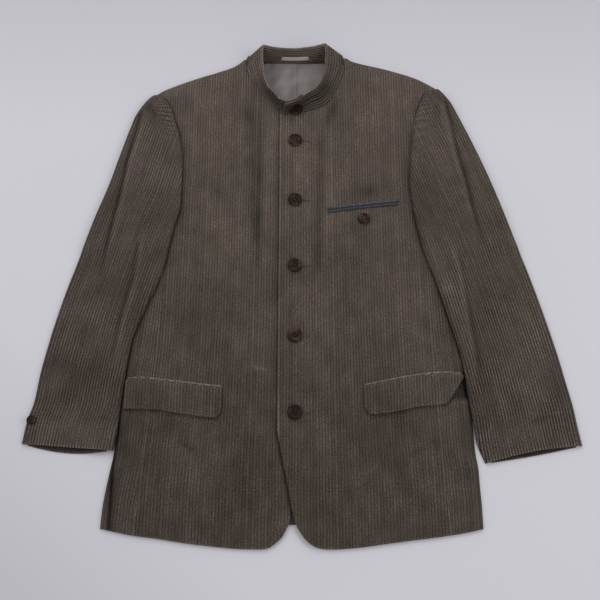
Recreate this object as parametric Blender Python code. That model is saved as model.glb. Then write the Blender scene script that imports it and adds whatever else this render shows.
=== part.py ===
"""Mandarin collar jacket in wide-wale corduroy, laid flat with its front up.

The jacket is built from the pieces that are cut and sewn: a back, two fronts, two side panels,
two-piece sleeves, a stand collar, flap pockets, a jetted chest pocket, a neck lining and buttons.
Every cloth piece is a wall between an outer and an inner sheet.  The corduroy's wales are raised
in the outer sheet, over a plain inner one.

Sizes are in millimetres and become metres when a mesh is made.  x points to the wearer's left,
y from the hem to the collar and z up.  A table that serves one side of the body gives "out",
the distance from the middle line towards that side's sleeve.
"""
import math

import bmesh
import bpy
import numpy as np
from mathutils import Matrix, Vector

MM = 0.001

# Cloth
CLOTH = 3.0            # corduroy with its facing or lining
BACK_CLOTH = 2.2       # the back, pressed flat under the rest
UNDER_CLOTH = 2.0      # the under sleeve
FLAP_CLOTH = 2.6       # a flap, two pressed layers
COLLAR_CLOTH = 2.4     # the collar band between its ridges
LINING_CLOTH = 0.6
WALE = 4.4             # one rib of the corduroy
RIDGE = 0.9            # how far a rib stands out
GAP = 0.35             # air between two pieces that touch
SLACK = 0.1            # more air below a front at its lowest
TRIM_CLEAR = 0.7       # air below a button or jet, over the ribs that carry it
FLAP_CLEAR = 0.55      # air below a flap at its seam
FLAP_RISE = 1.0        # how much looser a flap lies at its free edge
SLEEVE_CLEAR = 0.9     # air below a top sleeve, over the ribs of the front
HOLLOW = 3.7           # the most air between two layers that lie on each other

# Rounded edges
ROLL = 9.0             # how wide the fold at a shoulder, side or sleeve edge is
TURN = 12.0            # length of cloth that goes round a rolled edge
COARSE = 6             # fine columns for each column of a plain inner sheet

# Fastenings
BUTTON_RADIUS = 11.0
CHEST_BUTTON_RADIUS = 9.3
BUTTON_HEIGHT = 4.0
CUFF_BUTTON_RADIUS = 6.8
BUTTON_SIDES = 12
BUTTON_PROFILE = ((0.80, 0.0), (1.0, 0.32), (1.0, 0.62), (0.90, 1.0), (0.66, 0.78))
HOLE_RADIUS = 0.095    # of the button's radius
HOLE_PLACE = 0.24      # how far from the middle, of the button's radius
BUTTON_LINE = -8.0
BUTTON_PLACES = (274.5, 166.5, 53.3, -61.5, -180.5)
CHEST_BUTTON = (103.0, 134.0)
CUFF_BUTTON_UP = -191.5
CUFF_BUTTON_TILT = 3.0
CUFF_LOFT = 1.4          # the air in the sleeve under the cuff button

OVER_EDGE = -34.0      # the left front's free edge, which laps over
UNDER_EDGE = -14.0     # the right front's free edge, measured outwards on its own side
LAP_FADE = 18.0        # over how far the left front comes down again behind the right one's edge
UNDERARM = 95.0        # how high the side panels go
COLLAR_RIBS = 7
LOOP_STATIONS = (9.53, 10.43)      # where the hanger loop starts and ends along the collar
LOOP_SHARES = (0.23, 0.47)         # how high it lies on the collar
JET = 4.5              # width of a hip pocket's jet
JET_CROWN = (1.3, 2.1, 1.3)
CHEST_SLIT = ((45.0, 150.5), (160.0, 165.0))
CHEST_JET = 4.4
CHEST_OPEN = 1.2
CHEST_CROWN = (1.6, 2.0, 0.9)

# Fineness
FRONT_ROWS = np.array([0.0, 0.14, 0.26, 0.35, 0.52, 0.69, 0.85, 1.0])
SHOULDER_BAND = 16.0   # the strip below the shoulder edge that has rows of its own
SHOULDER_ROWS = np.array([0.45, 0.12, 0.0])
SIDE_ROWS = 9
SLEEVE_ROWS = 13
CAP_ROWS = 2           # rows of the top sleeve's cap that have no under sleeve below them
COLLAR_COLUMNS = 36

COLOURS = {
    "corduroy": (0.056, 0.043, 0.034),
    "lining": (0.17, 0.15, 0.15),
    "tape": (0.30, 0.28, 0.22),
    "satin": (0.075, 0.085, 0.11),
    "horn": (0.030, 0.016, 0.010),
}


def table(names, *rows):
    """A short table: the column names, then a row for each section."""
    return dict(zip(names.split(), np.array(rows, dtype=float).T))


# Outline of the left front, which shows on the photograph's right
LEFT = {
    "sign": 1.0,
    "flare": 0.045,
    "hem": table(
        "out up",
        (-34.0, -206), (-30.5, -224), (-26.5, -245), (-18, -285), (-12, -320), (-4, -346.5), (2, -355.5),
        (9, -364.5), (17, -370.5), (28, -375.2), (44, -376.5), (80, -374.4), (120, -369.4),
        (160, -364.2), (201, -359.3), (241, -353), (264, -348)),
    "top": table(
        "out up",
        (-34, 325), (-28, 326), (0, 330.5), (20, 336.5), (41.5, 348.5), (54.5, 369), (61, 383),
        (70, 401), (73.2, 408), (75.8, 415), (76.2, 424), (76.8, 437.6), (90, 434.4), (103, 430.2),
        (137, 421), (171, 410), (203, 397.5), (213, 391.8), (240, 375.2)),
    "seam": table(
        "up out",
        (-380, 219), (-347, 217), (-260, 212.4), (-189, 209.2), (-105, 206), (-31, 204),
        (30, 202.6), (67, 201.2), (95, 199), (124, 193), (173, 182), (221, 182),
        (280, 186.3), (323, 193), (343, 200.7), (360, 206.5), (367.5, 211), (372, 220), (375, 232),
        (405, 240)),
    "edge": table(
        "up out",
        (-350, 264), (-319, 264), (-290, 263), (-265, 262.5), (-239, 259.5), (-208, 258.5),
        (-176, 258.5), (-138, 257), (-98, 253), (-49, 249), (20, 248), (95, 250)),
    "sleeve": table(
        "rim_out rim_up fold_out fold_up",
        (236.5, 378.5, 230, 374), (246, 366.5, 214, 368.8), (257, 350.5, 203.5, 348),
        (268.5, 324, 193, 315), (288.7, 274, 184.2, 256), (307.5, 223, 180, 193),
        (326, 166, 185, 143), (347, 93.4, 198, 78), (362.6, 41, 213, 32), (378.4, -18, 230, -30),
        (396, -93, 247.4, -100), (404, -135, 251.8, -143), (411, -171, 256.4, -182),
        (414.5, -200, 261.5, -222), (418.7, -229, 273, -255)),
    "crease": table(
        "share away",
        (0.10, 7), (0.215, 18), (0.305, 33), (0.375, 41), (0.45, 50), (0.52, 57)),
    "neck_out": 78.0,
    "seat_end": -235.0,
    "cuff_top": -4.5,
    "cuff_under": 1.5,
}

# Outline of the right front, which shows on the photograph's left
RIGHT = {
    "sign": -1.0,
    "flare": 0.075,
    "hem": table(
        "out up",
        (-14, -180), (-10, -215), (-2, -262), (8, -308), (14, -333), (16, -341), (21, -351),
        (26, -360), (35, -368), (44, -374.2), (55, -376.3), (85, -375.8), (125, -372.4), (165, -367.8),
        (206, -361.5), (242, -357), (286, -348)),
    "top": table(
        "out up",
        (-14, 340), (-10, 338), (8, 334.5), (27, 337), (37.5, 344.5), (48.5, 353.5), (58.5, 367),
        (67.5, 383), (79, 394.5), (84, 400), (88, 405), (91.2, 412), (92.2, 420), (93, 434.4),
        (104, 429.6), (113.5, 423.6), (137, 413.8), (171, 401.4), (206, 387.5), (232, 375.8),
        (250, 364.2)),
    "seam": table(
        "up out",
        (-380, 242.5), (-349, 240), (-260, 233), (-177, 226.7), (-90, 221.6), (0, 218.2),
        (60, 215.8), (100, 213.5), (130, 207), (173, 196.5), (232, 195),
        (260, 197), (290, 202.2), (320, 211.7), (345, 220.5), (356, 227.5), (362, 236), (367, 247),
        (395, 256)),
    "edge": table(
        "up out",
        (-350, 288), (-319, 286.6), (-290, 283.2), (-265, 279.3), (-241, 275.6), (-218, 274.6),
        (-197, 273.8), (-172, 272.8), (-153, 271.5), (-117, 268.5), (-85, 264.5), (-31, 260),
        (30, 257.5), (95, 258)),
    "sleeve": table(
        "rim_out rim_up fold_out fold_up",
        (251.5, 363.8, 245, 365), (261, 353.5, 231, 357.5), (270, 341, 219.8, 343),
        (278.5, 325.5, 209.5, 313), (286.8, 298.8, 200, 280), (300.2, 250, 194, 228),
        (313.6, 198.8, 193.5, 168), (334, 135.3, 205, 110), (353.4, 64.5, 217, 46),
        (372, -2.5, 240, -16), (385.5, -62, 259, -72), (395.7, -119.5, 265.4, -127),
        (401, -164, 269.4, -172), (408.5, -191, 271, -203), (413, -226, 275, -237)),
    "crease": table(
        "share away",
        (0.16, 7), (0.245, 12), (0.35, 16.5), (0.415, 22), (0.515, 35), (0.62, 48)),
    "neck_out": 94.0,
    "seat_end": -290.0,
    "cuff_top": 0.0,
    "cuff_under": 8.0,
}

# Soft hills of the body's loft: middle, half widths and height
HILLS = table(
    "x y half_x half_y height",
    (-110, 230, 130, 190, 2.6),      # right chest
    (110, 230, 130, 190, 2.8),       # left chest
    (-180, 345, 60, 60, 5.5),        # right shoulder pad
    (165, 355, 60, 60, 5.5),         # left shoulder pad
    (-10, 385, 120, 90, 2.6),        # round the neck
    (-120, -120, 140, 200, 1.6),     # right hip
    (120, -120, 140, 200, 1.6),      # left hip
)

# Largest folds of the fronts: the two ends, half width and height, below zero for a trough
FOLDS = table(
    "x0 y0 x1 y1 half height",
    (-66, 350, -68, 60, 16, -1.8),
    (22, 320, 24, 20, 14, -1.6),
    (-92, 330, -96, 40, 14, 1.2),
    (-200, 300, -150, 120, 18, -1.4),
    (185, 300, 140, 100, 18, -1.4),
    (-150, -60, -60, -240, 20, -1.0),
    (160, -40, 110, -320, 22, -1.0),
    (60, -100, 70, -330, 18, 0.9),
)

# Collar stations from the left front end round the back to the right front end
COLLAR = table(
    "base_x base_y top_x top_y top_z",
    (-28, 324, -25.5, 332, 33), (-14, 326, -15, 334, 34), (0, 328.5, -4, 338, 35),
    (21, 334.5, 13, 351.5, 34), (43.5, 347, 29, 364.5, 33), (57, 368, 38.5, 382.5, 32),
    (70.6, 400, 42, 404, 32), (74.6, 420, 44, 427, 33), (71.6, 443.9, 42, 449, 33),
    (46, 436, 24, 443.8, 33), (-10, 432, -10, 438.8, 33), (-62, 434, -44, 442, 33),
    (-88.2, 440, -61, 446.2, 33), (-89, 418, -64, 431, 33), (-81, 393.5, -62, 404, 32),
    (-68.5, 381.5, -60, 384, 31), (-60.5, 366, -53, 367, 31), (-50, 352, -43.5, 354.5, 31),
    (-39, 342, -33.5, 343.5, 31), (-27, 335, -22, 338.5, 31), (-8, 332.8, -10, 342, 31),
    (10, 336.5, 4, 351.5, 31),
)

# Creases of a top sleeve: where they start and stop from cap to cuff, how far from its outer
# edge they lie at both ends, and their size
SLEEVE_FOLDS = table(
    "start stop away away_end half height",
    (0.62, 0.80, 96.0, 96.0, 12.0, 1.6),
    (0.55, 0.95, 62.0, 62.0, 14.0, -1.2),
)
# The trough and ridge of the long crease, and those near the inner fold, across their line
CREASE_WAVES = table("place half height", (0.0, 5.5, -2.6), (13.0, 7.0, 3.0))
RIDGE_WAVES = table("place half height", (0.0, 6.0, 1.6), (11.0, 7.0, -1.4))
# The ridge near a sleeve's inner fold: how far from the fold it lies, from cap to cuff
SLEEVE_RIDGE = table("share room", (0.48, 48), (0.56, 38), (0.66, 23), (0.72, 15), (0.80, 12))

# Outlines of the hip pockets' flaps: the seam above and the free edge below
FLAPS = {
    "right": table(
        "out top bottom",
        (117.5, -142, -166), (118.5, -142, -178), (122, -141.7, -185.5), (127, -141.3, -188),
        (134, -140.6, -188), (153, -138.4, -185.8), (172, -135.8, -183), (196, -133, -179),
        (215, -130.7, -176), (244, -128.3, -174.8), (258, -129.2, -174.6), (264, -131, -174.8)),
    "left": table(
        "out top bottom",
        (96.5, -140.5, -160), (98, -140, -173), (101, -139.3, -179.5), (106, -138.2, -183),
        (126, -133.7, -181.5), (144, -130, -178.7), (164, -126.4, -174.5), (182, -123.6, -171),
        (205, -121, -169), (218, -120, -167.5), (232, -120.5, -150), (247, -122, -127)),
}


def smooth(knots, values, at):
    """A smooth curve through a table that never overshoots its rows."""
    step = np.diff(knots)
    rise = np.diff(values) / step
    slope = np.empty(len(knots))
    slope[0] = rise[0]
    slope[-1] = rise[-1]
    product = rise[:-1] * rise[1:]
    total = rise[:-1] + rise[1:]
    safe = np.where(product > 0, total, 1.0)
    slope[1:-1] = np.where(product > 0, 2.0 * product / safe, 0.0)
    at = np.clip(at, knots[0], knots[-1])
    index = np.clip(np.searchsorted(knots, at, "right") - 1, 0, len(step) - 1)
    width = step[index]
    part = (at - knots[index]) / width
    part_2 = part * part
    part_3 = part_2 * part
    return (
        (2 * part_3 - 3 * part_2 + 1) * values[index]
        + (part_3 - 2 * part_2 + part) * width * slope[index]
        + (3 * part_2 - 2 * part_3) * values[index + 1]
        + (part_3 - part_2) * width * slope[index + 1]
    )


def ease(value):
    """A soft step from 0 to 1 as the value goes from 0 to 1."""
    value = np.clip(value, 0.0, 1.0)
    return value * value * (3.0 - 2.0 * value)


def quarter(value):
    """The height of a quarter ellipse: 0 at its rim, 1 from one width inwards."""
    away = 1.0 - np.clip(value, 0.0, 1.0)
    return np.sqrt(1.0 - away * away)


def side_of(x):
    """The side of the body that a point lies on, as weights for the left side."""
    return ease((x + 20.0) / 40.0)


def covered(side, x, y):
    """1 well inside the part of a front that no sleeve covers, 0 under the sleeve."""
    out = side["sign"] * x
    fold = smooth(-side["sleeve"]["fold_up"], side["sleeve"]["fold_out"], -y)
    limit = np.minimum(fold, smooth(side["edge"]["up"], side["edge"]["out"], y) - 4.0)
    limit = limit + 26.0 * ease((y - 130.0) / 60.0)
    return ease((limit - out) / 46.0)


def loft(x, y):
    """How far the fronts lie above their lowest place, from the hills and the folds."""
    total = np.zeros_like(x, dtype=float)
    for cx, cy, wx, wy, high in zip(*(HILLS[k] for k in ("x", "y", "half_x", "half_y", "height"))):
        total = total + high * np.exp(-((x - cx) / wx) ** 2 - ((y - cy) / wy) ** 2)
    for x0, y0, x1, y1, half, high in zip(*(FOLDS[k] for k in ("x0", "y0", "x1", "y1", "half", "height"))):
        length = math.hypot(x1 - x0, y1 - y0)
        run = ((x - x0) * (x1 - x0) + (y - y0) * (y1 - y0)) / length
        off = ((x - x0) * (y1 - y0) - (y - y0) * (x1 - x0)) / length
        ends = ease(run / 60.0) * ease((length - run) / 60.0)
        total = total + high * ends * np.exp(-(off / half) ** 2)
    cover = side_of(x) * covered(LEFT, x, y) + (1 - side_of(x)) * covered(RIGHT, x, y)
    hem = ease((y + 385.0) / 60.0)
    return np.maximum(total, 0.0) * cover * (0.25 + 0.75 * hem)


def body_top(x, y):
    """The grooves' height on the fronts and side panels, without the lap."""
    return BACK_CLOTH + GAP + CLOTH + SLACK + loft(x, y)


def lap(x):
    """1 where the left front lies on the right one, fading to 0 beyond the hidden edge."""
    return ease((-UNDER_EDGE + 2.0 + LAP_FADE - x) / LAP_FADE)


def left_front_top(x, y):
    """The grooves' height on the left front, with the lap."""
    return body_top(x, y) + (CLOTH + GAP) * lap(x)


def body_rib_top(x, y):
    """The height that anything on the body has to clear: the ribs' tops."""
    over = np.where(x > OVER_EDGE - 1.0, (CLOTH + GAP) * lap(x), 0.0)
    return body_top(x, y) + over + RIDGE


def build_mesh(name, points, faces, colour):
    """One closed object from points in millimetres, its doubles joined and faces turned outwards."""
    rounded = np.round(np.asarray(points, dtype=float), 4)
    unique, index = np.unique(rounded, axis=0, return_inverse=True)
    index = index.reshape(-1)
    clean = []
    for face in faces:
        ring = []
        for corner in face:
            vertex = int(index[corner])
            if not ring or ring[-1] != vertex:
                ring.append(vertex)
        if len(ring) > 1 and ring[0] == ring[-1]:
            ring.pop()
        if len(set(ring)) == len(ring) and len(ring) > 2:
            clean.append(ring)
    mesh = bpy.data.meshes.new(name)
    mesh.from_pydata([tuple(v) for v in unique * MM], [], clean)
    work = bmesh.new()
    work.from_mesh(mesh)
    loose = [v for v in work.verts if not v.link_faces]
    bmesh.ops.delete(work, geom=loose, context="VERTS")
    quads = [f for f in work.faces if len(f.verts) == 4]
    bmesh.ops.triangulate(work, faces=quads, quad_method="FIXED")
    bmesh.ops.recalc_face_normals(work, faces=work.faces)
    if work.calc_volume(signed=True) < 0:
        bmesh.ops.reverse_faces(work, faces=work.faces)
    work.to_mesh(mesh)
    work.free()
    mesh.shade_smooth()
    mesh.set_sharp_from_angle(angle=math.radians(40))
    mesh.materials.append(material(colour))
    thing = bpy.data.objects.new(name, mesh)
    bpy.context.scene.collection.objects.link(thing)
    return thing


def material(name):
    """The plain material of one of the jacket's stuffs."""
    found = bpy.data.materials.get(name)
    if found:
        return found
    made = bpy.data.materials.new(name)
    made.use_nodes = True
    shader = made.node_tree.nodes["Principled BSDF"]
    shader.inputs["Base Color"].default_value = (*COLOURS[name], 1.0)
    shader.inputs["Roughness"].default_value = 0.35 if name in ("horn", "satin") else 0.9
    shader.inputs["Metallic"].default_value = 0.0
    return made


def chain_share(points):
    """How far along a chain of points each one lies, from 0 to 1."""
    steps = np.linalg.norm(np.diff(points[:, :2], axis=0), axis=1)
    total = np.concatenate(([0.0], np.cumsum(steps)))
    return total / max(total[-1], 1e-9)


def zip_chains(points, first, second):
    """Triangles between two chains of point numbers, taken in step along both."""
    share_a = chain_share(points[first])
    share_b = chain_share(points[second])
    i = 0
    j = 0
    faces = []
    while i < len(first) - 1 or j < len(second) - 1:
        last_b = j == len(second) - 1
        last_a = i == len(first) - 1
        if last_b or (not last_a and share_a[i] + share_a[i + 1] <= share_b[j] + share_b[j + 1]):
            faces.append((first[i], first[i + 1], second[j]))
            i += 1
        else:
            faces.append((first[i], second[j + 1], second[j]))
            j += 1
    return faces


def wall(name, outer, inner, colour):
    """A closed wall between two sheets of points, joined round their four edges."""
    rows_a, columns_a = outer.shape[:2]
    rows_b, columns_b = inner.shape[:2]
    points = np.concatenate((outer.reshape(-1, 3), inner.reshape(-1, 3)))
    grid_a = np.arange(rows_a * columns_a).reshape(rows_a, columns_a)
    grid_b = np.arange(rows_b * columns_b).reshape(rows_b, columns_b) + rows_a * columns_a
    faces = []
    for grid in (grid_a, grid_b[:, ::-1]):
        for r in range(grid.shape[0] - 1):
            for c in range(grid.shape[1] - 1):
                faces.append((grid[r, c], grid[r, c + 1], grid[r + 1, c + 1], grid[r + 1, c]))
    for edge_a, edge_b in (
        (grid_a[0], grid_b[0]),
        (grid_a[-1], grid_b[-1]),
        (grid_a[:, 0], grid_b[:, 0]),
        (grid_a[:, -1], grid_b[:, -1]),
    ):
        faces.extend(zip_chains(points, edge_a, edge_b))
    return build_mesh(name, points, faces, colour)


def plate(name, outline, low, high, colour):
    """A flat piece: an outline with a level underside and top."""
    count = len(outline)
    points = [(x, y, low) for x, y in outline] + [(x, y, high) for x, y in outline]
    faces = [tuple(range(count))[::-1], tuple(range(count, 2 * count))]
    for i in range(count):
        j = (i + 1) % count
        faces.append((i, j, j + count, i + count))
    return build_mesh(name, points, faces, colour)


def cut_rows(out, up, limit):
    """End each row where it meets the limit: the points past it all move to that place."""
    past = out > limit
    for r in range(out.shape[0]):
        if not past[r].any():
            continue
        first = int(np.argmax(past[r]))
        last = first - 1
        room = limit[r, last] - out[r, last]
        share = room / (room + out[r, first] - limit[r, first])
        spot_out = out[r, last] + share * (out[r, first] - out[r, last])
        spot_up = up[r, last] + share * (up[r, first] - up[r, last])
        if share < 0.12:
            first = last
            past[r, first] = True
        out[r, first:] = spot_out
        up[r, first:] = spot_up
    return past


def rib_columns(start, stop):
    """Column places from start to stop, two for each wale."""
    count = int(math.ceil((stop - start) / (WALE / 2)))
    return start + np.arange(count + 1) * (WALE / 2)


def sparse(columns, *fine):
    """One column for every few, every second one within the fine stretches, and the last one."""
    keep = []
    for i, place in enumerate(columns):
        is_fine = any(start <= place <= stop for start, stop in fine)
        if i % COARSE == 0 or (is_fine and i % 2 == 0) or i == len(columns) - 1:
            keep.append(i)
    return columns[keep]


def front_plan(side, columns, inset, roll):
    """Where a front's points lie: out, up, distance from the shoulder edge and ribs cut off."""
    flare = 1.0 + side["flare"] * (columns > 0)
    foot = smooth(side["hem"]["out"], side["hem"]["up"], columns * flare)
    shoulder = ease((columns - side["neck_out"]) / 14.0)
    head = smooth(side["top"]["out"], side["top"]["up"], columns) - inset * shoulder
    band = SHOULDER_BAND - inset
    rows = [foot + share * (head - band - foot) for share in FRONT_ROWS]
    rows += [head - share * roll for share in SHOULDER_ROWS]
    up = np.array(rows)
    out = np.broadcast_to(columns, up.shape).copy()
    out = np.where(out > 0, out * (1.0 + side["flare"] * ease(-up / 350.0)), out)
    near_head = np.broadcast_to(head, up.shape) - up
    limit = smooth(side["seam"]["up"], side["seam"]["out"], up)
    past = cut_rows(out, up, limit)
    return out, up, near_head, np.broadcast_to(shoulder, up.shape), past


def front_sheets(side, columns, top, under, ribs):
    """The outer and inner sheet of a front, its shoulder edge rolled down to the floor."""
    out, up, near, shoulder, past = front_plan(side, columns, 0.0, ROLL)
    x = side["sign"] * out
    z = top(x, up)
    z = z - z * shoulder * (1.0 - quarter(near / ROLL))
    rib = np.where(np.arange(len(columns)) % 2 == 1, RIDGE, 0.0) * ribs
    z = z + np.where(past, 0.0, rib) * np.where(shoulder * (near < 0.5) > 0.5, 0.0, 1.0)
    outer = np.stack((x, up, z), axis=-1)
    neck = side["neck_out"]
    plain = sparse(columns, (columns[0], columns[0] + 50.0), (neck - 26.0, neck + 26.0))
    out, up, near, shoulder, past = front_plan(side, plain, CLOTH, ROLL - CLOTH)
    x = side["sign"] * out
    z = np.minimum(top(x, up) - CLOTH, under(x, up))
    z = z - z * shoulder * (1.0 - quarter(near / (ROLL - CLOTH)))
    inner = np.stack((x, up, z), axis=-1)
    return outer, inner


def make_left_front():
    """The front that laps over, with its rounded lower corner."""
    columns = rib_columns(OVER_EDGE, 226.0)

    def under(x, y):
        free = BACK_CLOTH + HOLLOW
        on_right = body_top(x, y) + GAP
        return free + (on_right - free) * ease((-UNDER_EDGE + 14.0 - x) / 12.0)

    outer, inner = front_sheets(LEFT, columns, left_front_top, under, np.ones(len(columns)))
    return wall("left_front", outer, inner, "corduroy")


def make_right_front():
    """The front that lies under the lap, ribbed where it shows."""
    hidden = np.array([UNDER_EDGE, -4.0, 6.0, 16.0, 26.0])
    columns = np.concatenate((hidden, rib_columns(-OVER_EDGE + 1.2, 252.0)))
    ribs = (np.arange(len(columns)) > len(hidden)).astype(float)
    outer, inner = front_sheets(
        RIGHT, columns, body_top, lambda x, y: np.full_like(x, BACK_CLOTH + HOLLOW), ribs)
    return wall("right_front", outer, inner, "corduroy")


def from_both_ends(width, middle, turn):
    """Columns close together in the turn at both ends of each row and even between them."""
    near = np.array([0.0, 0.08, 0.35, 1.0])
    share = np.minimum(1.0, width / (2.4 * turn))[:, None] * turn
    first = near * share
    last = width[:, None] - near[::-1] * share
    steps = np.linspace(0.0, 1.0, middle + 2)[1:-1]
    between = first[:, -1:] + steps * (last[:, :1] - first[:, -1:])
    return np.concatenate((first, between, last), axis=1)


def make_side_panel(name, side):
    """The strip between the front's seam and the body's folded side edge."""
    sign = side["sign"]
    share = np.linspace(0.0, 1.0, SIDE_ROWS)

    def edge_at(up):
        return smooth(side["edge"]["up"], side["edge"]["out"], up)

    def sheet(into, inset, roll, ribs):
        low_edge = edge_at(np.full(into.shape, -350.0))
        low = smooth(side["hem"]["out"], side["hem"]["up"], low_edge[0] - into[0] - inset)
        up = low + share[:, None] * (UNDERARM - low)
        most = edge_at(up) - smooth(side["seam"]["up"], side["seam"]["out"], up) - 1.0
        away = into + inset
        past = cut_rows(away, up, most)
        x = sign * (edge_at(up) - away)
        z = (body_top(x, up) - inset) * quarter((away - inset) / roll)
        z = z + np.where(past, 0.0, ribs)
        return np.stack((x, up, z), axis=-1)

    arc = rib_columns(0.0, 74.0)
    flat = unrolled(arc)
    ribs = np.where(np.arange(len(flat)) % 2 == 1, RIDGE, 0.0) * (flat > 1.0)
    outer = sheet(np.broadcast_to(flat, (SIDE_ROWS, len(flat))), 0.0, ROLL, ribs)
    centre = -350.0 + share * (UNDERARM + 350.0)
    width = edge_at(centre) - smooth(side["seam"]["up"], side["seam"]["out"], centre)
    plain = np.concatenate(([0.0, 0.5, 2.0, 6.0], np.arange(16.0, width.max() + 12.0, 11.0)))
    inner = sheet(np.broadcast_to(plain, (SIDE_ROWS, len(plain))), CLOTH, ROLL - CLOTH, np.zeros(len(plain)))
    return wall(name, outer, inner, "corduroy")


def unrolled(arc):
    """How far in from a rolled edge a place is, from its distance along the cloth."""
    round_edge = ROLL * (1.0 - np.cos(np.clip(arc / TURN, 0.0, 1.0) * math.pi / 2))
    return np.where(arc < TURN, round_edge, arc - TURN + ROLL)


def seat(side, out, up):
    """The floor of the under sleeve: the surface, or the body's side that it lies on."""
    edge = smooth(side["edge"]["up"], side["edge"]["out"], up)
    body = BACK_CLOTH + GAP + CLOTH + SLACK + RIDGE + GAP
    across = ease((edge + 50.0 - out) / 38.0)
    along = ease((192.0 - up) / 42.0) * ease((up - side["seat_end"]) / 40.0)
    return body * across * along


def sleeve_rows(side):
    """The rows of a sleeve from its cap to its cuff: outer point, direction inwards, width."""
    rows = side["sleeve"]
    stations = np.arange(len(rows["rim_out"]), dtype=float)
    at = np.linspace(0.25, stations[-1], SLEEVE_ROWS)
    rim_out, rim_up, fold_out, fold_up = (
        smooth(stations, rows[k], at)[:, None] for k in ("rim_out", "rim_up", "fold_out", "fold_up"))
    width = np.hypot(fold_out - rim_out, fold_up - rim_up)
    along = ((fold_out - rim_out) / width, (fold_up - rim_up) / width)
    return rim_out, rim_up, along, width, at[:, None] / stations[-1]


def bell(value):
    """A bell curve: 1 at 0, near 0 past 2."""
    return np.exp(-value * value)


def along_table(shares, share):
    """1 between a table's first and last share, fading out at both ends."""
    return ease((share - shares[0]) / 0.06) * ease((shares[-1] - share) / 0.12)


def waves(place, rows):
    """The sum of soft ridges and troughs that lie side by side along one line."""
    total = np.zeros_like(place)
    for middle, half, high in zip(*(rows[k] for k in ("place", "half", "height"))):
        total = total + high * bell((place - middle) / half)
    return total


def sleeve_loft(side, share, away, room):
    """How far the top sleeve stands above the under one: a head, a soft middle and creases."""
    head = 8.0 * ease(1.0 - share / 0.42)
    crown = ease(away / 40.0) * ease(room / 40.0)
    total = (1.6 + head) * crown + 0.6
    place = away - smooth(side["crease"]["share"], side["crease"]["away"], share)
    ends = along_table(side["crease"]["share"], share)
    total = total + ends * waves(place, CREASE_WAVES)
    place = room - smooth(SLEEVE_RIDGE["share"], SLEEVE_RIDGE["room"], share)
    ends = along_table(SLEEVE_RIDGE["share"], share)
    total = total + ends * waves(place, RIDGE_WAVES)
    for start, stop, first, last, half, high in zip(
            *(SLEEVE_FOLDS[k] for k in ("start", "stop", "away", "away_end", "half", "height"))):
        middle = 0.5 * (start + stop)
        reach = 0.5 * (stop - start)
        ends = ease((reach - np.abs(share - middle)) / (0.5 * reach))
        place = first + (last - first) * (share - start) / (stop - start)
        total = total + high * ends * bell((away - place) / half)
    return np.maximum(total, 1.2)


def bulge(away, width):
    """0 at both ends of a row and 1 in its middle."""
    return np.sin(np.clip(away / width, 0.0, 1.0) * math.pi)


def bow_cuff(out, up, amount):
    """Move a sleeve's last row along the sleeve, so that its hem bows."""
    run_out = out[-1] - out[-2]
    run_up = up[-1] - up[-2]
    length = np.hypot(run_out, run_up)
    out = np.array(out)
    up = np.array(up)
    out[-1] = out[-1] + amount[-1] * run_out / length
    up[-1] = up[-1] + amount[-1] * run_up / length
    return out, up


def make_sleeve(name, side):
    """The top and under sleeve of one side."""
    sign = side["sign"]
    rim_out, rim_up, along, width, share = sleeve_rows(side)

    def sheet(away, inset, roll, ribs):
        past = away > width
        away = np.minimum(away, width)
        out = rim_out + along[0] * away
        up = rim_up + along[1] * away
        room = width - away
        low = seat(side, out, up)
        on_body = (body_rib_top(sign * out, up) + SLEEVE_CLEAR) * ease((up - 60.0) / 30.0)
        rest = np.maximum(low, on_body)
        full = low + UNDER_CLOTH + GAP + CLOTH + sleeve_loft(side, share, away, room)
        full = np.maximum(full, rest + CLOTH + 0.5)
        if inset:
            full = np.minimum(full - inset, np.maximum(low + UNDER_CLOTH, rest - GAP) + HOLLOW)
        rim = quarter((away - inset) / roll)
        fold = quarter((room - inset) / roll)
        z = full - full * (1.0 - rim) - (full - rest) * (1.0 - fold)
        z = np.maximum(z, rest * np.clip((away - inset) / (width - 2 * inset), 0, 1))
        z = z + np.where(past, 0.0, ribs) * (room > 1.0) * (share > share[0])
        out, up = bow_cuff(out, up, side["cuff_top"] * bulge(away, width))
        return np.stack((sign * out, up, z), axis=-1)

    flat = unrolled(rib_columns(0.0, 162.0))
    ribs = np.where(np.arange(len(flat)) % 2 == 1, RIDGE, 0.0) * (flat > 1.0)
    outer = sheet(np.broadcast_to(flat, (SLEEVE_ROWS, len(flat))), 0.0, ROLL, ribs)
    plain = from_both_ends(width[:, 0] - 2 * CLOTH, 11, ROLL - CLOTH) + CLOTH
    inner = sheet(plain, CLOTH, ROLL - CLOTH, 0.0)
    wall(name + "_sleeve_top", outer, inner, "corduroy")

    inset = ROLL + 0.6
    away = inset + np.linspace(0.0, 1.0, 10) * (width - 2 * inset)
    out = (rim_out + along[0] * away)[CAP_ROWS:]
    up = (rim_up + along[1] * away)[CAP_ROWS:]
    z = seat(side, out, up)
    out, up = bow_cuff(out, up, side["cuff_under"] * bulge(away, width)[CAP_ROWS:])
    under = np.stack((sign * out, up, z), axis=-1)
    upper = np.stack((sign * out, up, z + UNDER_CLOTH), axis=-1)
    wall(name + "_sleeve_under", upper, under, "corduroy")


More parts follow.
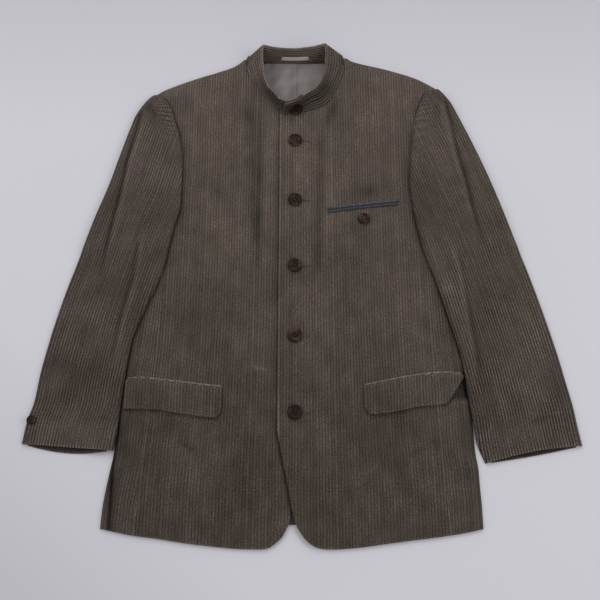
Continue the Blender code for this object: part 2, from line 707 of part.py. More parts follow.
def make_back():
    """The back, one flat piece inside the folded edges."""
    outline = []
    inset = ROLL + 0.6
    for side in (LEFT, RIGHT):
        sign = side["sign"]
        points = []
        for up in (-342.0, -290.0, -240.0, -170.0, -90.0, 0.0, 60.0, UNDERARM - 2.0):
            points.append((smooth(side["edge"]["up"], side["edge"]["out"], up) - inset, up))
        for up, share in ((108.0, 0.9), (122.0, 0.68), (136.0, 0.4), (150.0, 0.15)):
            wide = smooth(side["edge"]["up"], side["edge"]["out"], UNDERARM) - inset
            seam = smooth(side["seam"]["up"], side["seam"]["out"], up) - 2.5
            points.append((seam + share * (wide - seam), up))
        for up in (175.0, 220.0, 270.0, 310.0, 340.0):
            points.append((smooth(side["seam"]["up"], side["seam"]["out"], up) - 2.5, up))
        for share in (1.0, 0.75, 0.5, 0.25, 0.0):
            tip = smooth(side["seam"]["up"], side["seam"]["out"], 362.0) - 8.0
            out = side["neck_out"] + 14.0 + share * (tip - side["neck_out"] - 14.0)
            points.append((out, smooth(side["top"]["out"], side["top"]["up"], out) - inset))
        points.append((side["neck_out"] + 2.0, 426.0))
        points.append((side["neck_out"] - 6.0, 447.0))
        points.append((side["neck_out"] - 27.0, 437.0))
        points = [(sign * out, up) for out, up in points]
        outline.append(points)
    ring = outline[0] + outline[1][::-1]
    return plate("back_panel", ring, 0.0, BACK_CLOTH, "corduroy")


def make_lining():
    """The lining of the back that shows in the neck, with its centre pleat."""
    low = BACK_CLOTH + GAP
    x_left = np.array([-76.0, -60, -40, -20, -5.5, -4.5, -3.5, 10, 25, 40, 58])
    up_low = np.full(len(x_left), 336.0)
    up_high = np.array([420.0, 430, 429.6, 429.4, 429.4, 429.4, 429.4, 429.6, 430, 430.5, 420])
    rows = np.linspace(0.0, 1.0, 4)[:, None]
    up = up_low + rows * (up_high - up_low)
    x = np.broadcast_to(x_left, up.shape)
    pleat = np.where(np.arange(len(x_left)) < 5, 0.45, 0.0)
    top = np.stack((x, up, low + LINING_CLOTH + pleat + 0 * x), axis=-1)
    under = np.stack((x, up, low + 0 * x), axis=-1)
    return wall("back_lining", top, under, "lining")


def collar_band(shares, stations):
    """Points and outward directions on the collar's middle surface."""
    numbers = np.arange(len(COLLAR["base_x"]), dtype=float)
    base_x = smooth(numbers, COLLAR["base_x"], stations)
    base_y = smooth(numbers, COLLAR["base_y"], stations)
    top_x = smooth(numbers, COLLAR["top_x"], stations)
    top_y = smooth(numbers, COLLAR["top_y"], stations)
    top_z = smooth(numbers, COLLAR["top_z"], stations)
    on_front = ease((425.0 - base_y) / 12.0)
    front_z = np.where(stations < 10.0, left_front_top(base_x, base_y), body_top(base_x, base_y))
    reach = 4.0
    for step_x, step_y in ((reach, 0), (-reach, 0), (0, reach), (0, -reach)):
        near_x = base_x + step_x
        near_y = base_y + step_y
        other = np.where(stations < 10.0, left_front_top(near_x, near_y), body_top(near_x, near_y))
        front_z = np.maximum(front_z, other)
    base_z = BACK_CLOTH + GAP + on_front * (front_z + RIDGE - BACK_CLOTH)
    base = np.stack((base_x, base_y, base_z), axis=-1)
    top = np.stack((top_x, top_y, top_z), axis=-1)
    share = shares[:, None, None]
    points = base + (top - base) * share
    along = np.gradient(points, axis=1)
    rise = np.broadcast_to(top - base, points.shape)
    outward = np.cross(along, rise)
    outward = outward / np.linalg.norm(outward, axis=-1, keepdims=True)
    return points, outward


def make_collar():
    """The stand collar: a band that rises from the neck seam and overlaps at the front."""
    shares = np.linspace(0.0, 1.0, 2 * COLLAR_RIBS + 1)
    stations = np.linspace(0.0, len(COLLAR["base_x"]) - 1.0, COLLAR_COLUMNS)
    points, outward = collar_band(shares, stations)
    ridge = np.where(np.arange(len(shares)) % 2 == 1, RIDGE * 0.8, 0.0)[:, None, None]
    outer = points + outward * (COLLAR_CLOTH / 2 + ridge)
    inner = points - outward * (COLLAR_CLOTH / 2 + ridge)
    outer[0, :, 2] = np.maximum(outer[0, :, 2], points[0, :, 2])
    inner[0, :, 2] = np.maximum(inner[0, :, 2], points[0, :, 2])
    return wall("collar", outer, inner, "corduroy")


def make_hanger_loop():
    """The tape inside the back neck, made from the collar's inner face."""
    stations = np.linspace(*LOOP_STATIONS, 9)
    shares = np.linspace(*LOOP_SHARES, 3)
    points, outward = collar_band(shares, stations)
    off = COLLAR_CLOTH / 2 + RIDGE * 0.8 + GAP
    face = points - outward * (off + 0.8)
    back = points - outward * off
    return wall("hanger_loop", face, back, "tape")


def make_flap(name, side, shape):
    """A hip pocket's flap, made from the panel's points and moved out."""
    sign = side["sign"]
    last = shape["out"][-1]
    columns = rib_columns(shape["out"][0], last)
    columns = columns[columns < last - 1.0]
    columns = np.append(columns, last)
    share = np.linspace(0.0, 1.0, 4)[:, None]

    def sheet(places, lift, ribs):
        top = smooth(shape["out"], shape["top"], places) - 0.4
        bottom = smooth(shape["out"], shape["bottom"], places)
        up = bottom + share * (top - bottom)
        x = sign * np.broadcast_to(places, up.shape)
        rise = FLAP_RISE * ease((top - up) / np.maximum(top - bottom, 1.0))
        z = body_rib_top(x, up) + FLAP_CLEAR + lift + rise + ribs
        return np.stack((x, up, z), axis=-1)

    ribs = np.where(np.arange(len(columns)) % 2 == 1, RIDGE, 0.0)
    ribs[-1] = 0.0
    outer = sheet(columns, FLAP_CLOTH, ribs)
    inner = sheet(sparse(columns, (columns[0], columns[0] + 14.0)), 0.0, 0.0)
    wall(name + "_hip_flap", outer, inner, "corduroy")

    places = np.linspace(shape["out"][0] + 1.0, last - 3.0, 11)
    top = smooth(shape["out"], shape["top"], places)
    across = np.linspace(0.0, 1.0, 3)[:, None]
    up = top + across * JET
    x = sign * np.broadcast_to(places, up.shape)
    z = body_rib_top(x, up) + TRIM_CLEAR
    crown = np.array(JET_CROWN)[:, None]
    outer = np.stack((x, up, z + crown), axis=-1)
    wall(name + "_hip_jet", outer, np.stack((x, up, z), axis=-1), "corduroy")


def make_chest_jets():
    """The two satin jets of the chest pocket, with the slit between them."""
    (x0, y0), (x1, y1) = CHEST_SLIT
    places = np.linspace(x0, x1, 9)
    middle = y0 + (y1 - y0) * (places - x0) / (x1 - x0)
    bow = 1.2 * np.sin((places - x0) / (x1 - x0) * math.pi)
    for name, direction in (("chest_jet_upper", 1.0), ("chest_jet_lower", -1.0)):
        across = np.linspace(0.0, 1.0, 3)[:, None]
        up = middle - bow * direction * 0.3 + direction * (CHEST_OPEN + across * CHEST_JET)
        x = np.broadcast_to(places, up.shape)
        z = body_rib_top(x, up) + TRIM_CLEAR
        crown = np.array(CHEST_CROWN)[:, None]
        outer = np.stack((x, up, z + crown), axis=-1)
        wall(name, outer, np.stack((x, up, z), axis=-1), "satin")


def make_button(name, radius, high, place, normal, up_axis):
    """A four-hole button: a turned disc with a raised rim, cut by four holes."""
    work = bmesh.new()
    rings = []
    for share, level in BUTTON_PROFILE:
        ring = []
        for k in range(BUTTON_SIDES):
            angle = 2 * math.pi * k / BUTTON_SIDES
            reach = radius * share * MM
            spot = (reach * math.cos(angle), reach * math.sin(angle), high * level * MM)
            ring.append(work.verts.new(spot))
        rings.append(ring)
    for low, top in zip(rings, rings[1:]):
        for k in range(BUTTON_SIDES):
            n = (k + 1) % BUTTON_SIDES
            work.faces.new((low[k], low[n], top[n], top[k]))
    work.faces.new(rings[0][::-1])
    work.faces.new(rings[-1])
    bmesh.ops.recalc_face_normals(work, faces=work.faces)
    mesh = bpy.data.meshes.new(name)
    work.to_mesh(mesh)
    work.free()
    mesh.shade_smooth()
    mesh.set_sharp_from_angle(angle=math.radians(40))
    mesh.materials.append(material("horn"))
    button = bpy.data.objects.new(name, mesh)
    bpy.context.scene.collection.objects.link(button)
    third = Vector(normal).normalized()
    second = Vector(up_axis)
    second = (second - third * second.dot(third)).normalized()
    first = second.cross(third)
    turn = Matrix((first, second, third)).transposed().to_4x4()
    frame = Matrix.Translation(Vector(place) * MM) @ turn
    button.matrix_world = frame
    spread = HOLE_PLACE * radius * MM
    for k, (sx, sy) in enumerate(((1, 1), (-1, 1), (-1, -1), (1, -1))):
        bpy.ops.mesh.primitive_cylinder_add(
            vertices=5, radius=HOLE_RADIUS * radius * MM, depth=4 * high * MM)
        cutter = bpy.context.object
        cutter.name = name + "_hole_" + str(k)
        cutter.matrix_world = frame @ Matrix.Translation((sx * spread, sy * spread, 0.0))
        cutter.hide_render = True
        cutter.display_type = "WIRE"
        cut = button.modifiers.new("hole", "BOOLEAN")
        cut.operation = "DIFFERENCE"
        cut.solver = "EXACT"
        cut.object = cutter
    return button


def make_buttons():
    """Five front buttons, and those of the collar, the chest pocket and the right cuff."""
    for number, up in enumerate(BUTTON_PLACES, start=1):
        z = float(body_rib_top(np.array(BUTTON_LINE), np.array(up))) + TRIM_CLEAR
        make_button("front_button_%d" % number, BUTTON_RADIUS, BUTTON_HEIGHT,
                    (BUTTON_LINE, up, z), (0, 0, 1), (0, 1, 0))
    x, y = CHEST_BUTTON
    z = float(body_rib_top(np.array(x), np.array(y))) + TRIM_CLEAR
    make_button("chest_button", CHEST_BUTTON_RADIUS, BUTTON_HEIGHT, (x, y, z), (0, 0, 1), (0, 1, 0))
    points, outward = collar_band(np.array([0.5]), np.linspace(1.0, 2.2, 13))
    middle = 6
    spot = points[0, middle]
    face = outward[0, middle]
    place = spot + face * (COLLAR_CLOTH / 2 + RIDGE + GAP + 0.5)
    make_button("collar_button", BUTTON_RADIUS, BUTTON_HEIGHT, tuple(place), tuple(face), (0, 0, 1))
    tilt = math.radians(CUFF_BUTTON_TILT)
    rim = smooth(-RIGHT["sleeve"]["rim_up"], RIGHT["sleeve"]["rim_out"], -CUFF_BUTTON_UP)
    sleeve_top = UNDER_CLOTH + GAP + CLOTH + RIDGE + CUFF_LOFT
    reach = math.hypot(ROLL * math.sin(tilt), sleeve_top * math.cos(tilt)) + GAP
    place = (-(rim - ROLL) - reach * math.sin(tilt), CUFF_BUTTON_UP, reach * math.cos(tilt))
    make_button("cuff_button", CUFF_BUTTON_RADIUS, 0.75 * BUTTON_HEIGHT, place,
                (-math.sin(tilt), 0, math.cos(tilt)), (0, 1, 0))


def centre_on_origin():
    """Move the whole jacket so that the middle of its underside is the origin."""
    things = [o for o in bpy.context.scene.objects if o.type == "MESH"]
    shown = [o for o in things if not o.hide_render]
    corners = np.array([tuple(o.matrix_world @ Vector(c)) for o in shown for c in o.bound_box])
    low = corners.min(axis=0)
    high = corners.max(axis=0)
    move = Matrix.Translation((-(low[0] + high[0]) / 2, -(low[1] + high[1]) / 2, -low[2]))
    for thing in things:
        thing.matrix_world = move @ thing.matrix_world


def main():
    for thing in list(bpy.data.objects):
        bpy.data.objects.remove(thing, do_unlink=True)
    make_back()
    make_lining()
    make_right_front()
    make_left_front()
    make_side_panel("left_side_panel", LEFT)
    make_side_panel("right_side_panel", RIGHT)
    make_sleeve("left", LEFT)
    make_sleeve("right", RIGHT)
    make_collar()
    make_hanger_loop()
    make_flap("left", LEFT, FLAPS["left"])
    make_flap("right", RIGHT, FLAPS["right"])
    make_chest_jets()
    make_buttons()
    bpy.context.view_layer.update()
    centre_on_origin()


main()
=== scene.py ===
"""The looks of a mandarin collar jacket in wide-wale corduroy, laid flat with its front up.

Laid out as a Blender add-on and run as a script.  Every cloth piece is a closed shell between an
outer sheet, with its wales, folds and rolled edges, and a plain inner sheet.  Both are functions of
a place across the wales and a place along them, worked out on whole numpy grids.  Lengths in the
shape functions are millimetres on the jacket's own plan: "out" runs from the middle line towards a
side's sleeve, "up" from the hem to the collar.  They become metres in the frame when a mesh is made.
"""
import math

import bpy
import numpy as np
from mathutils import Matrix, Vector


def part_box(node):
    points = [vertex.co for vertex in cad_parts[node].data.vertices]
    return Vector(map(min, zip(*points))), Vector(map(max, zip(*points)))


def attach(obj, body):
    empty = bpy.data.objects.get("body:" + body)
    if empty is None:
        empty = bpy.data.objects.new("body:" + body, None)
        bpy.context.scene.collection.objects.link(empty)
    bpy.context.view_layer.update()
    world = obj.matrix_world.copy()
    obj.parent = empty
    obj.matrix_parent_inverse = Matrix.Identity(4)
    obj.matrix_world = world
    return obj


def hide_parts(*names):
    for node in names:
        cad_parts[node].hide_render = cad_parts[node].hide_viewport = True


bl_info = {
    "name": "Corduroy Jacket Laid Flat",
    "version": (1, 0, 0),
    "blender": (4, 5, 0),
    "location": "3D View > Sidebar > Jacket",
    "description": "Dresses the construction of a stand-collar corduroy jacket with its cloth and buttons",
    "category": "Object",
}

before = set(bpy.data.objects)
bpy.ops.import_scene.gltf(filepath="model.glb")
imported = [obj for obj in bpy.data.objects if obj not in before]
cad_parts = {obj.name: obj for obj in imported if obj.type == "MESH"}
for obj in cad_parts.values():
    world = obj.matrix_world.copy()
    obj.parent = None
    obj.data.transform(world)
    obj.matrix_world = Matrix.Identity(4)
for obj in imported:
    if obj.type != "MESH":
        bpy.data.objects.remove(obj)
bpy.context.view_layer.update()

MM = 0.001

# The construction's sizes, in millimetres on the plan
CLOTH = 3.0            # walls of the fronts, the side panels and the top sleeves
BACK_CLOTH = 2.2
UNDER_CLOTH = 2.0      # wall of the under sleeves
FLAP_CLOTH = 2.6
COLLAR_CLOTH = 2.4
LINING_CLOTH = 0.6
GAP = 0.35             # between two pieces where one lies on the other
HOLLOW = 3.7           # between the back and the fronts' undersides
ROLL = 9.0             # width of a rolled edge, and what it takes along the cloth
TURN = 12.0
OVER_EDGE = -34.0      # the left front's free edge, and the right one's beneath it
UNDER_EDGE = -14.0
LAP_FADE = 18.0        # how softly the step over the hidden edge fades
UNDERARM = 95.0        # where the side panels end
LOWEST_HEM = -376.5
BUTTON_LINE = -8.0
RIB_CLEARANCE = 0.9    # the wales' height that what lies on them has to clear
EDGE_ROUND = 2.4       # how far in from a sewn edge the cloth is rounded off
UNDER_MARGIN = 0.6     # how far what lies beneath stays inside a rolled edge

# Fineness of the meshes
STEPS = 8              # columns for each wale, and outer columns for each inner one
ROW = 5.0              # distance between rows
FRONT_LENGTH = 740.0   # how far the rows and columns of each piece reach
SIDE_LENGTH = 450.0
SIDE_WIDTH = 74.0
SLEEVE_WIDTH = 164.0
SLEEVE_ROWS = 132
UNDER_START = 20       # the under sleeve's first row and its count of wales
UNDER_WALES = 34
COLLAR_ROWS = 300
BUTTON_TURNS = 64
CUTTER_TURNS = 20
STITCHES = 34.0        # half the number of stitches round a worked buttonhole

# A button's holes and thread, as shares of its radius
HOLE_PLACE = 0.23
HOLE_RADIUS = 0.10
THREAD_RADIUS = 0.036


def table(names, *rows):
    """A short table: the column names, then a row for each section."""
    return dict(zip(names.split(), np.array(rows, dtype=float).T))


LEFT = {
    "sign": 1.0,
    "word": "left",
    "flare": 0.045,
    "hem": table(
        "out up",
        (-34.0, -206), (-30.5, -224), (-26.5, -245), (-18, -285), (-12, -320), (-4, -346.5), (2, -355.5),
        (9, -364.5), (17, -370.5), (28, -375.2), (44, -376.5), (80, -374.4), (120, -369.4),
        (160, -364.2), (201, -359.3), (241, -353), (264, -348)),
    "top": table(
        "out up",
        (-34, 325), (-28, 326), (0, 330.5), (20, 336.5), (41.5, 348.5), (54.5, 369), (61, 383),
        (70, 401), (73.2, 408), (75.8, 415), (76.2, 424), (76.8, 437.6), (90, 434.4), (103, 430.2),
        (137, 421), (171, 410), (203, 397.5), (213, 391.8), (240, 375.2)),
    "seam": table(
        "up out",
        (-380, 219), (-347, 217), (-260, 212.4), (-189, 209.2), (-105, 206), (-31, 204),
        (30, 202.6), (67, 201.2), (95, 199), (124, 193), (173, 182), (221, 182),
        (280, 186.3), (323, 193), (343, 200.7), (360, 206.5), (367.5, 211), (372, 220), (375, 232),
        (405, 240)),
    "edge": table(
        "up out",
        (-350, 264), (-319, 264), (-290, 263), (-265, 262.5), (-239, 259.5), (-208, 258.5),
        (-176, 258.5), (-138, 257), (-98, 253), (-49, 249), (20, 248), (95, 250)),
    "sleeve": table(
        "rim_out rim_up fold_out fold_up",
        (236.5, 378.5, 230, 374), (246, 366.5, 214, 368.8), (257, 350.5, 203.5, 348),
        (268.5, 324, 193, 315), (288.7, 274, 184.2, 256), (307.5, 223, 180, 193),
        (326, 166, 185, 143), (347, 93.4, 198, 78), (362.6, 41, 213, 32), (378.4, -18, 230, -30),
        (396, -93, 247.4, -100), (404, -135, 251.8, -143), (411, -171, 256.4, -182),
        (414.5, -200, 261.5, -222), (418.7, -229, 273, -255)),
    "crease": table(
        "share away",
        (0.10, 7), (0.215, 18), (0.305, 33), (0.375, 41), (0.45, 50), (0.52, 57)),
    "neck_out": 78.0,
    "seat_end": -235.0,
    "front_width": 226.0,
    "cuff_top": -4.5,
    "cuff_under": 1.5,
    # The sleeve's looks: the seed of its patches, the strength of the painted light and shade on the cap's
    # puckers, the strength of the painted shading of its wales, and how much darker it is near the middle
    "sleeve_looks": {"seed": 51, "puckers": 0.40, "ribs": 1.65, "dim": 0.0},
}

RIGHT = {
    "sign": -1.0,
    "word": "right",
    "flare": 0.075,
    "hem": table(
        "out up",
        (-14, -180), (-10, -215), (-2, -262), (8, -308), (14, -333), (16, -341), (21, -351),
        (26, -360), (35, -368), (44, -374.2), (55, -376.3), (85, -375.8), (125, -372.4), (165, -367.8),
        (206, -361.5), (242, -357), (286, -348)),
    "top": table(
        "out up",
        (-14, 340), (-10, 338), (8, 334.5), (27, 337), (37.5, 344.5), (48.5, 353.5), (58.5, 367),
        (67.5, 383), (79, 394.5), (84, 400), (88, 405), (91.2, 412), (92.2, 420), (93, 434.4),
        (104, 429.6), (113.5, 423.6), (137, 413.8), (171, 401.4), (206, 387.5), (232, 375.8),
        (250, 364.2)),
    "seam": table(
        "up out",
        (-380, 242.5), (-349, 240), (-260, 233), (-177, 226.7), (-90, 221.6), (0, 218.2),
        (60, 215.8), (100, 213.5), (130, 207), (173, 196.5), (232, 195),
        (260, 197), (290, 202.2), (320, 211.7), (345, 220.5), (356, 227.5), (362, 236), (367, 247),
        (395, 256)),
    "edge": table(
        "up out",
        (-350, 288), (-319, 286.6), (-290, 283.2), (-265, 279.3), (-241, 275.6), (-218, 274.6),
        (-197, 273.8), (-172, 272.8), (-153, 271.5), (-117, 268.5), (-85, 264.5), (-31, 260),
        (30, 257.5), (95, 258)),
    "sleeve": table(
        "rim_out rim_up fold_out fold_up",
        (251.5, 363.8, 245, 365), (261, 353.5, 231, 357.5), (270, 341, 219.8, 343),
        (278.5, 325.5, 209.5, 313), (286.8, 298.8, 200, 280), (300.2, 250, 194, 228),
        (313.6, 198.8, 193.5, 168), (334, 135.3, 205, 110), (353.4, 64.5, 217, 46),
        (372, -2.5, 240, -16), (385.5, -62, 259, -72), (395.7, -119.5, 265.4, -127),
        (401, -164, 269.4, -172), (408.5, -191, 271, -203), (413, -226, 275, -237)),
    "crease": table(
        "share away",
        (0.16, 7), (0.245, 12), (0.35, 16.5), (0.415, 22), (0.515, 35), (0.62, 48)),
    "neck_out": 94.0,
    "seat_end": -290.0,
    "front_width": 252.0,
    "cuff_top": 0.0,
    "cuff_under": 8.0,
    "sleeve_looks": {"seed": 61, "puckers": 0.75, "ribs": 1.15, "dim": 0.13},
}

HILLS = table(
    "x y half_x half_y height",
    (-110, 230, 130, 190, 2.6),
    (110, 230, 130, 190, 2.8),
    (-180, 345, 60, 60, 5.5),
    (165, 355, 60, 60, 5.5),
    (-10, 385, 120, 90, 2.6),
    (-120, -120, 140, 200, 1.6),
    (120, -120, 140, 200, 1.6),
)

FOLDS = table(
    "x0 y0 x1 y1 half height",
    (-66, 350, -68, 60, 16, -1.8),
    (22, 320, 24, 20, 14, -1.6),
    (-92, 330, -96, 40, 14, 1.2),
    (-200, 300, -150, 120, 18, -1.4),
    (185, 300, 140, 100, 18, -1.4),
    (-150, -60, -60, -240, 20, -1.0),
    (160, -40, 110, -320, 22, -1.0),
    (60, -100, 70, -330, 18, 0.9),
)

SLEEVE_FOLDS = table(
    "start stop away away_end half height",
    (0.62, 0.80, 96.0, 96.0, 12.0, 1.6),
    (0.55, 0.95, 62.0, 62.0, 14.0, -1.2),
)
# The ridge near a sleeve's inner fold: how far from the fold it lies, from cap to cuff
SLEEVE_RIDGE = table("share room", (0.48, 48), (0.56, 38), (0.66, 23), (0.72, 15), (0.80, 12))

# Bells across a line: middle, half width and amount, in height or in tone
CREASE_LOFT = ((12.0, 7.0, 3.0), (0.0, 4.5, -2.8))
RIDGE_LOFT = ((0.0, 5.0, 1.6), (10.0, 6.0, -1.4))
# Painted shade in a sleeve's crease, with a painted highlight beside it
CREASE_PAINTED_SHADE = ((7.0, 4.0, 0.22), (0.0, 3.4, -0.62), (-7.0, 6.0, -0.12))
# A painted highlight on a sleeve's ridge, with painted shade beside it
RIDGE_PAINTED_HIGHLIGHT = ((0.0, 4.0, 0.26), (8.0, 4.0, -0.30))
# The painted shadow of the slit where a sleeve's fold meets the body
FOLD_PAINTED_SHADOW = ((0.5, 3.4, -0.60), (4.0, 9.0, -0.18))
# Painted shade along the lining's pleat, among soft light and dark bands across it
LINING_TONE = ((-5.0, 1.3, -0.22), (-26.0, 8.0, 0.14), (-49.0, 7.0, -0.18), (-13.0, 5.0, -0.12),
               (8.0, 9.0, 0.10))

COLLAR = table(
    "base_x base_y top_x top_y top_z",
    (-28, 324, -25.5, 332, 33), (-14, 326, -15, 334, 34), (0, 328.5, -4, 338, 35),
    (21, 334.5, 13, 351.5, 34), (43.5, 347, 29, 364.5, 33), (57, 368, 38.5, 382.5, 32),
    (70.6, 400, 42, 404, 32), (75.6, 420, 44, 427, 33), (72.8, 444.2, 42, 449, 33),
    (46, 436, 24, 443.8, 33), (-10, 432, -10, 438.8, 33), (-62, 434, -44, 442, 33),
    (-89.6, 439.6, -61, 446.2, 33), (-90.4, 418, -64, 431, 33), (-81, 393.5, -62, 404, 32),
    (-68.5, 381.5, -60, 384, 31), (-60.5, 366, -53, 367, 31), (-50, 352, -43.5, 354.5, 31),
    (-39, 342, -33.5, 343.5, 31), (-27, 335, -22, 338.5, 31), (-8, 332.8, -10, 342, 31),
    (10, 336.5, 4, 351.5, 31),
)
COLLAR_RIBS = 7

FLAPS = {
    "right": table(
        "out top bottom",
        (117.5, -142, -166), (118.5, -142, -178), (122, -141.7, -185.5), (127, -141.3, -188),
        (134, -140.6, -188), (153, -138.4, -185.8), (172, -135.8, -183), (196, -133, -179),
        (215, -130.7, -176), (244, -128.3, -174.8), (258, -129.2, -174.6), (264, -131, -174.8)),
    "left": table(
        "out top bottom",
        (96.5, -140.5, -160), (98, -140, -173), (101, -139.3, -179.5), (106, -138.2, -183),
        (126, -133.7, -181.5), (144, -130, -178.7), (164, -126.4, -174.5), (182, -123.6, -171),
        (205, -121, -169), (218, -120, -167.5), (232, -120.5, -150), (247, -122, -127)),
}
JET = 4.5
CHEST_SLIT = ((45.0, 150.5), (160.0, 165.0))
CHEST_JET = 4.4
CHEST_OPEN = 1.2

FOLD_FADE = 60.0
STROKE_FADE = 50.0
# Soft strokes of painted shade and painted highlight on the fronts, along the folds, under the hip flaps and
# above the chest pocket: the two ends, half width, and tone added
STROKES = table(
    "x0 y0 x1 y1 half tone",
    (-85, 380, -70, 60, 9, -0.24),
    (66, 372, 37, 285, 8, -0.44),
    (37, 315, 27, 20, 8, -0.40),
    (-48, 330, -52, 120, 9, 0.18),
    (52, 320, 46, 60, 9, 0.20),
    (150, 300, 160, 190, 16, 0.12),
    (-150, 330, -140, 220, 20, 0.08),
    (-120, 250, -105, 60, 38, -0.07),
    (70, 70, 90, -70, 42, -0.07),
    (-215, 120, -222, -100, 10, -0.10),
    (60, -60, 70, -330, 12, -0.06),
    (-236, -205, -146, -197, 17, -0.16),
    (-184, -219, -148, -241, 2.6, -0.45),
    (-77, -105, -46, -119, 2.2, 0.70),
    (-76, -119, -54, -122, 3.5, -0.20),
    (-154, -222, -106, -200, 3.5, 0.13),
    (-81, -100, -74, -172, 9, -0.09),
    (158, -247, 190, -229, 4, -0.26),
    (189, -219, 210, -232, 3, -0.18),
    (228, -60, 254, -124, 7, 0.16),
    (243, -164, 262, -206, 7, 0.13),
    (108, -190, 190, -196, 15, -0.12),
    (-215, 60, -232, -60, 5, 0.14),
    (62, 176, 150, 192, 12, -0.42),
    (56, 140, 84, 138, 8, 0.14),
    (-66, 330, -68, 20, 6, -0.34),
    (-214, 372, -180, 330, 14, -0.26),
    (8, 262, -10, 196, 4, 0.20),
    (-98, 352, -78, 300, 5, -0.22),
    (70, 40, 78, -40, 7, -0.16),
    (-40, 60, -44, -40, 8, -0.12),
)

# Where the left hip flap's corner is turned up, with the painted shade of its recess, and the painted
# highlight of the fold below it, as a stroke
RECESS = {"corners": ((249.4, -127.2), (224.2, -161.7), (254.9, -159.1)), "tone": -0.50, "depth": 1.2,
          "lip": (219.0, -168.6, 256.0, -163.0, 1.4, 0.34, 8.0)}


def smooth(knots, values, at):
    """A smooth curve through a table that never overshoots its rows: cubic pieces whose slope at
    each row is the harmonic mean of the slopes beside it, or level where those differ in sign."""
    step = np.diff(knots)
    rise = np.diff(values) / step
    slope = np.empty(len(knots))
    slope[0] = rise[0]
    slope[-1] = rise[-1]
    product = rise[:-1] * rise[1:]
    total = rise[:-1] + rise[1:]
    safe = np.where(product > 0, total, 1.0)
    slope[1:-1] = np.where(product > 0, 2.0 * product / safe, 0.0)
    at = np.clip(at, knots[0], knots[-1])
    index = np.clip(np.searchsorted(knots, at, "right") - 1, 0, len(step) - 1)
    width = step[index]
    part = (at - knots[index]) / width
    part_2 = part * part
    part_3 = part_2 * part
    return (
        (2 * part_3 - 3 * part_2 + 1) * values[index]
        + (part_3 - 2 * part_2 + part) * width * slope[index]
        + (3 * part_2 - 2 * part_3) * values[index + 1]
        + (part_3 - part_2) * width * slope[index + 1]
    )


def curve(rows, at, column=None):
    """A smooth curve through a table, from its first column to its second or to a named one."""
    names = list(rows)
    return smooth(rows[names[0]], rows[column or names[1]], at)


def ease(value):
    """A soft step from 0 to 1 as the value goes from 0 to 1."""
    value = np.clip(value, 0.0, 1.0)
    return value * value * (3.0 - 2.0 * value)


def quarter(value):
    """The height of a quarter ellipse: 0 at its rim, 1 from one width inwards."""
    away = 1.0 - np.clip(value, 0.0, 1.0)
    return np.sqrt(1.0 - away * away)


def bell(value):
    """A bell curve: 1 at 0, near 0 past 2."""
    return np.exp(-value * value)


def bells(place, rows):
    """A sum of bell curves, from the middle, half width and amount of each."""
    return sum(amount * bell((place - middle) / half) for middle, half, amount in rows)


def ripple(x, y, size, seed):
    """Uneven soft waves about one size long: a sum of sines in drawn directions and lengths."""
    draw = np.random.default_rng(seed)
    total = 0.0
    for _ in range(7):
        angle = draw.uniform(0.0, math.pi)
        length = size * draw.uniform(0.7, 1.6)
        phase = draw.uniform(0.0, 2 * math.pi)
        run = x * math.cos(angle) + y * math.sin(angle)
        total = total + np.sin(run * 2 * math.pi / length + phase)
    return total / 3.0


def wale_profile(place):
    """A wale's height from 0 to 1 at a place counted in wales: half an ellipse on each one."""
    phase = place - np.floor(place)
    return np.sqrt(np.clip(1.0 - (2.0 * phase - 1.0) ** 2, 0.0, 1.0))


def uneven_wales(cloth, wales, x, y, size, seed):
    """The wales' height at a place counted in wales, a little uneven in soft patches."""
    return cloth.ridge * wale_profile(wales) * (0.86 + 0.14 * ripple(x, y, size, seed))


def stroke(x, y, x0, y0, x1, y1, half, amount, fade):
    """A soft stroke: a bell across the line between two points, fading out at both ends."""
    length = math.hypot(x1 - x0, y1 - y0)
    run = ((x - x0) * (x1 - x0) + (y - y0) * (y1 - y0)) / length
    off = ((x - x0) * (y1 - y0) - (y - y0) * (x1 - x0)) / length
    fade = min(fade, 0.4 * length)
    return amount * ease(run / fade) * ease((length - run) / fade) * bell(off / half)


def grid_of(*parts):
    """A grid of points or UV places from the grids of their coordinates."""
    return np.stack(np.broadcast_arrays(*parts), axis=-1)


def rows_of(values):
    """The rows of a table, one tuple for each."""
    return zip(*values.values())


def side_of(x):
    """The weight of the left side at a point, from 0 to 1 across the middle line."""
    return ease((x + 20.0) / 40.0)


def fold_at(side, up):
    """A sleeve's inner fold at a height on the plan."""
    return smooth(-side["sleeve"]["fold_up"], side["sleeve"]["fold_out"], -up)


def covered(side, x, y):
    """1 well inside the part of a front that no sleeve covers, 0 under the sleeve."""
    limit = np.minimum(fold_at(side, y), curve(side["edge"], y) - 4.0)
    limit = limit + 26.0 * ease((y - 130.0) / 60.0)
    return ease((limit - side["sign"] * x) / 46.0)


def loft(x, y):
    """How far the fronts lie above their lowest place: bell-shaped hills, and folds that are
    bell-shaped across and fade at both ends."""
    total = np.zeros_like(x, dtype=float)
    for cx, cy, wx, wy, high in rows_of(HILLS):
        total = total + high * np.exp(-((x - cx) / wx) ** 2 - ((y - cy) / wy) ** 2)
    for row in rows_of(FOLDS):
        total = total + stroke(x, y, *row, FOLD_FADE)
    cover = side_of(x) * covered(LEFT, x, y) + (1 - side_of(x)) * covered(RIGHT, x, y)
    hem = ease((y + 385.0) / 60.0)
    return np.maximum(total, 0.0) * cover * (0.25 + 0.75 * hem)


def body_top(x, y):
    """The grooves' height on the fronts and side panels, without the lap."""
    return BACK_CLOTH + GAP + CLOTH + 0.1 + loft(x, y)


def lap(x):
    """1 where the left front lies on the right one, fading to 0 beyond the hidden edge."""
    return ease((-UNDER_EDGE + 2.0 + LAP_FADE - x) / LAP_FADE)


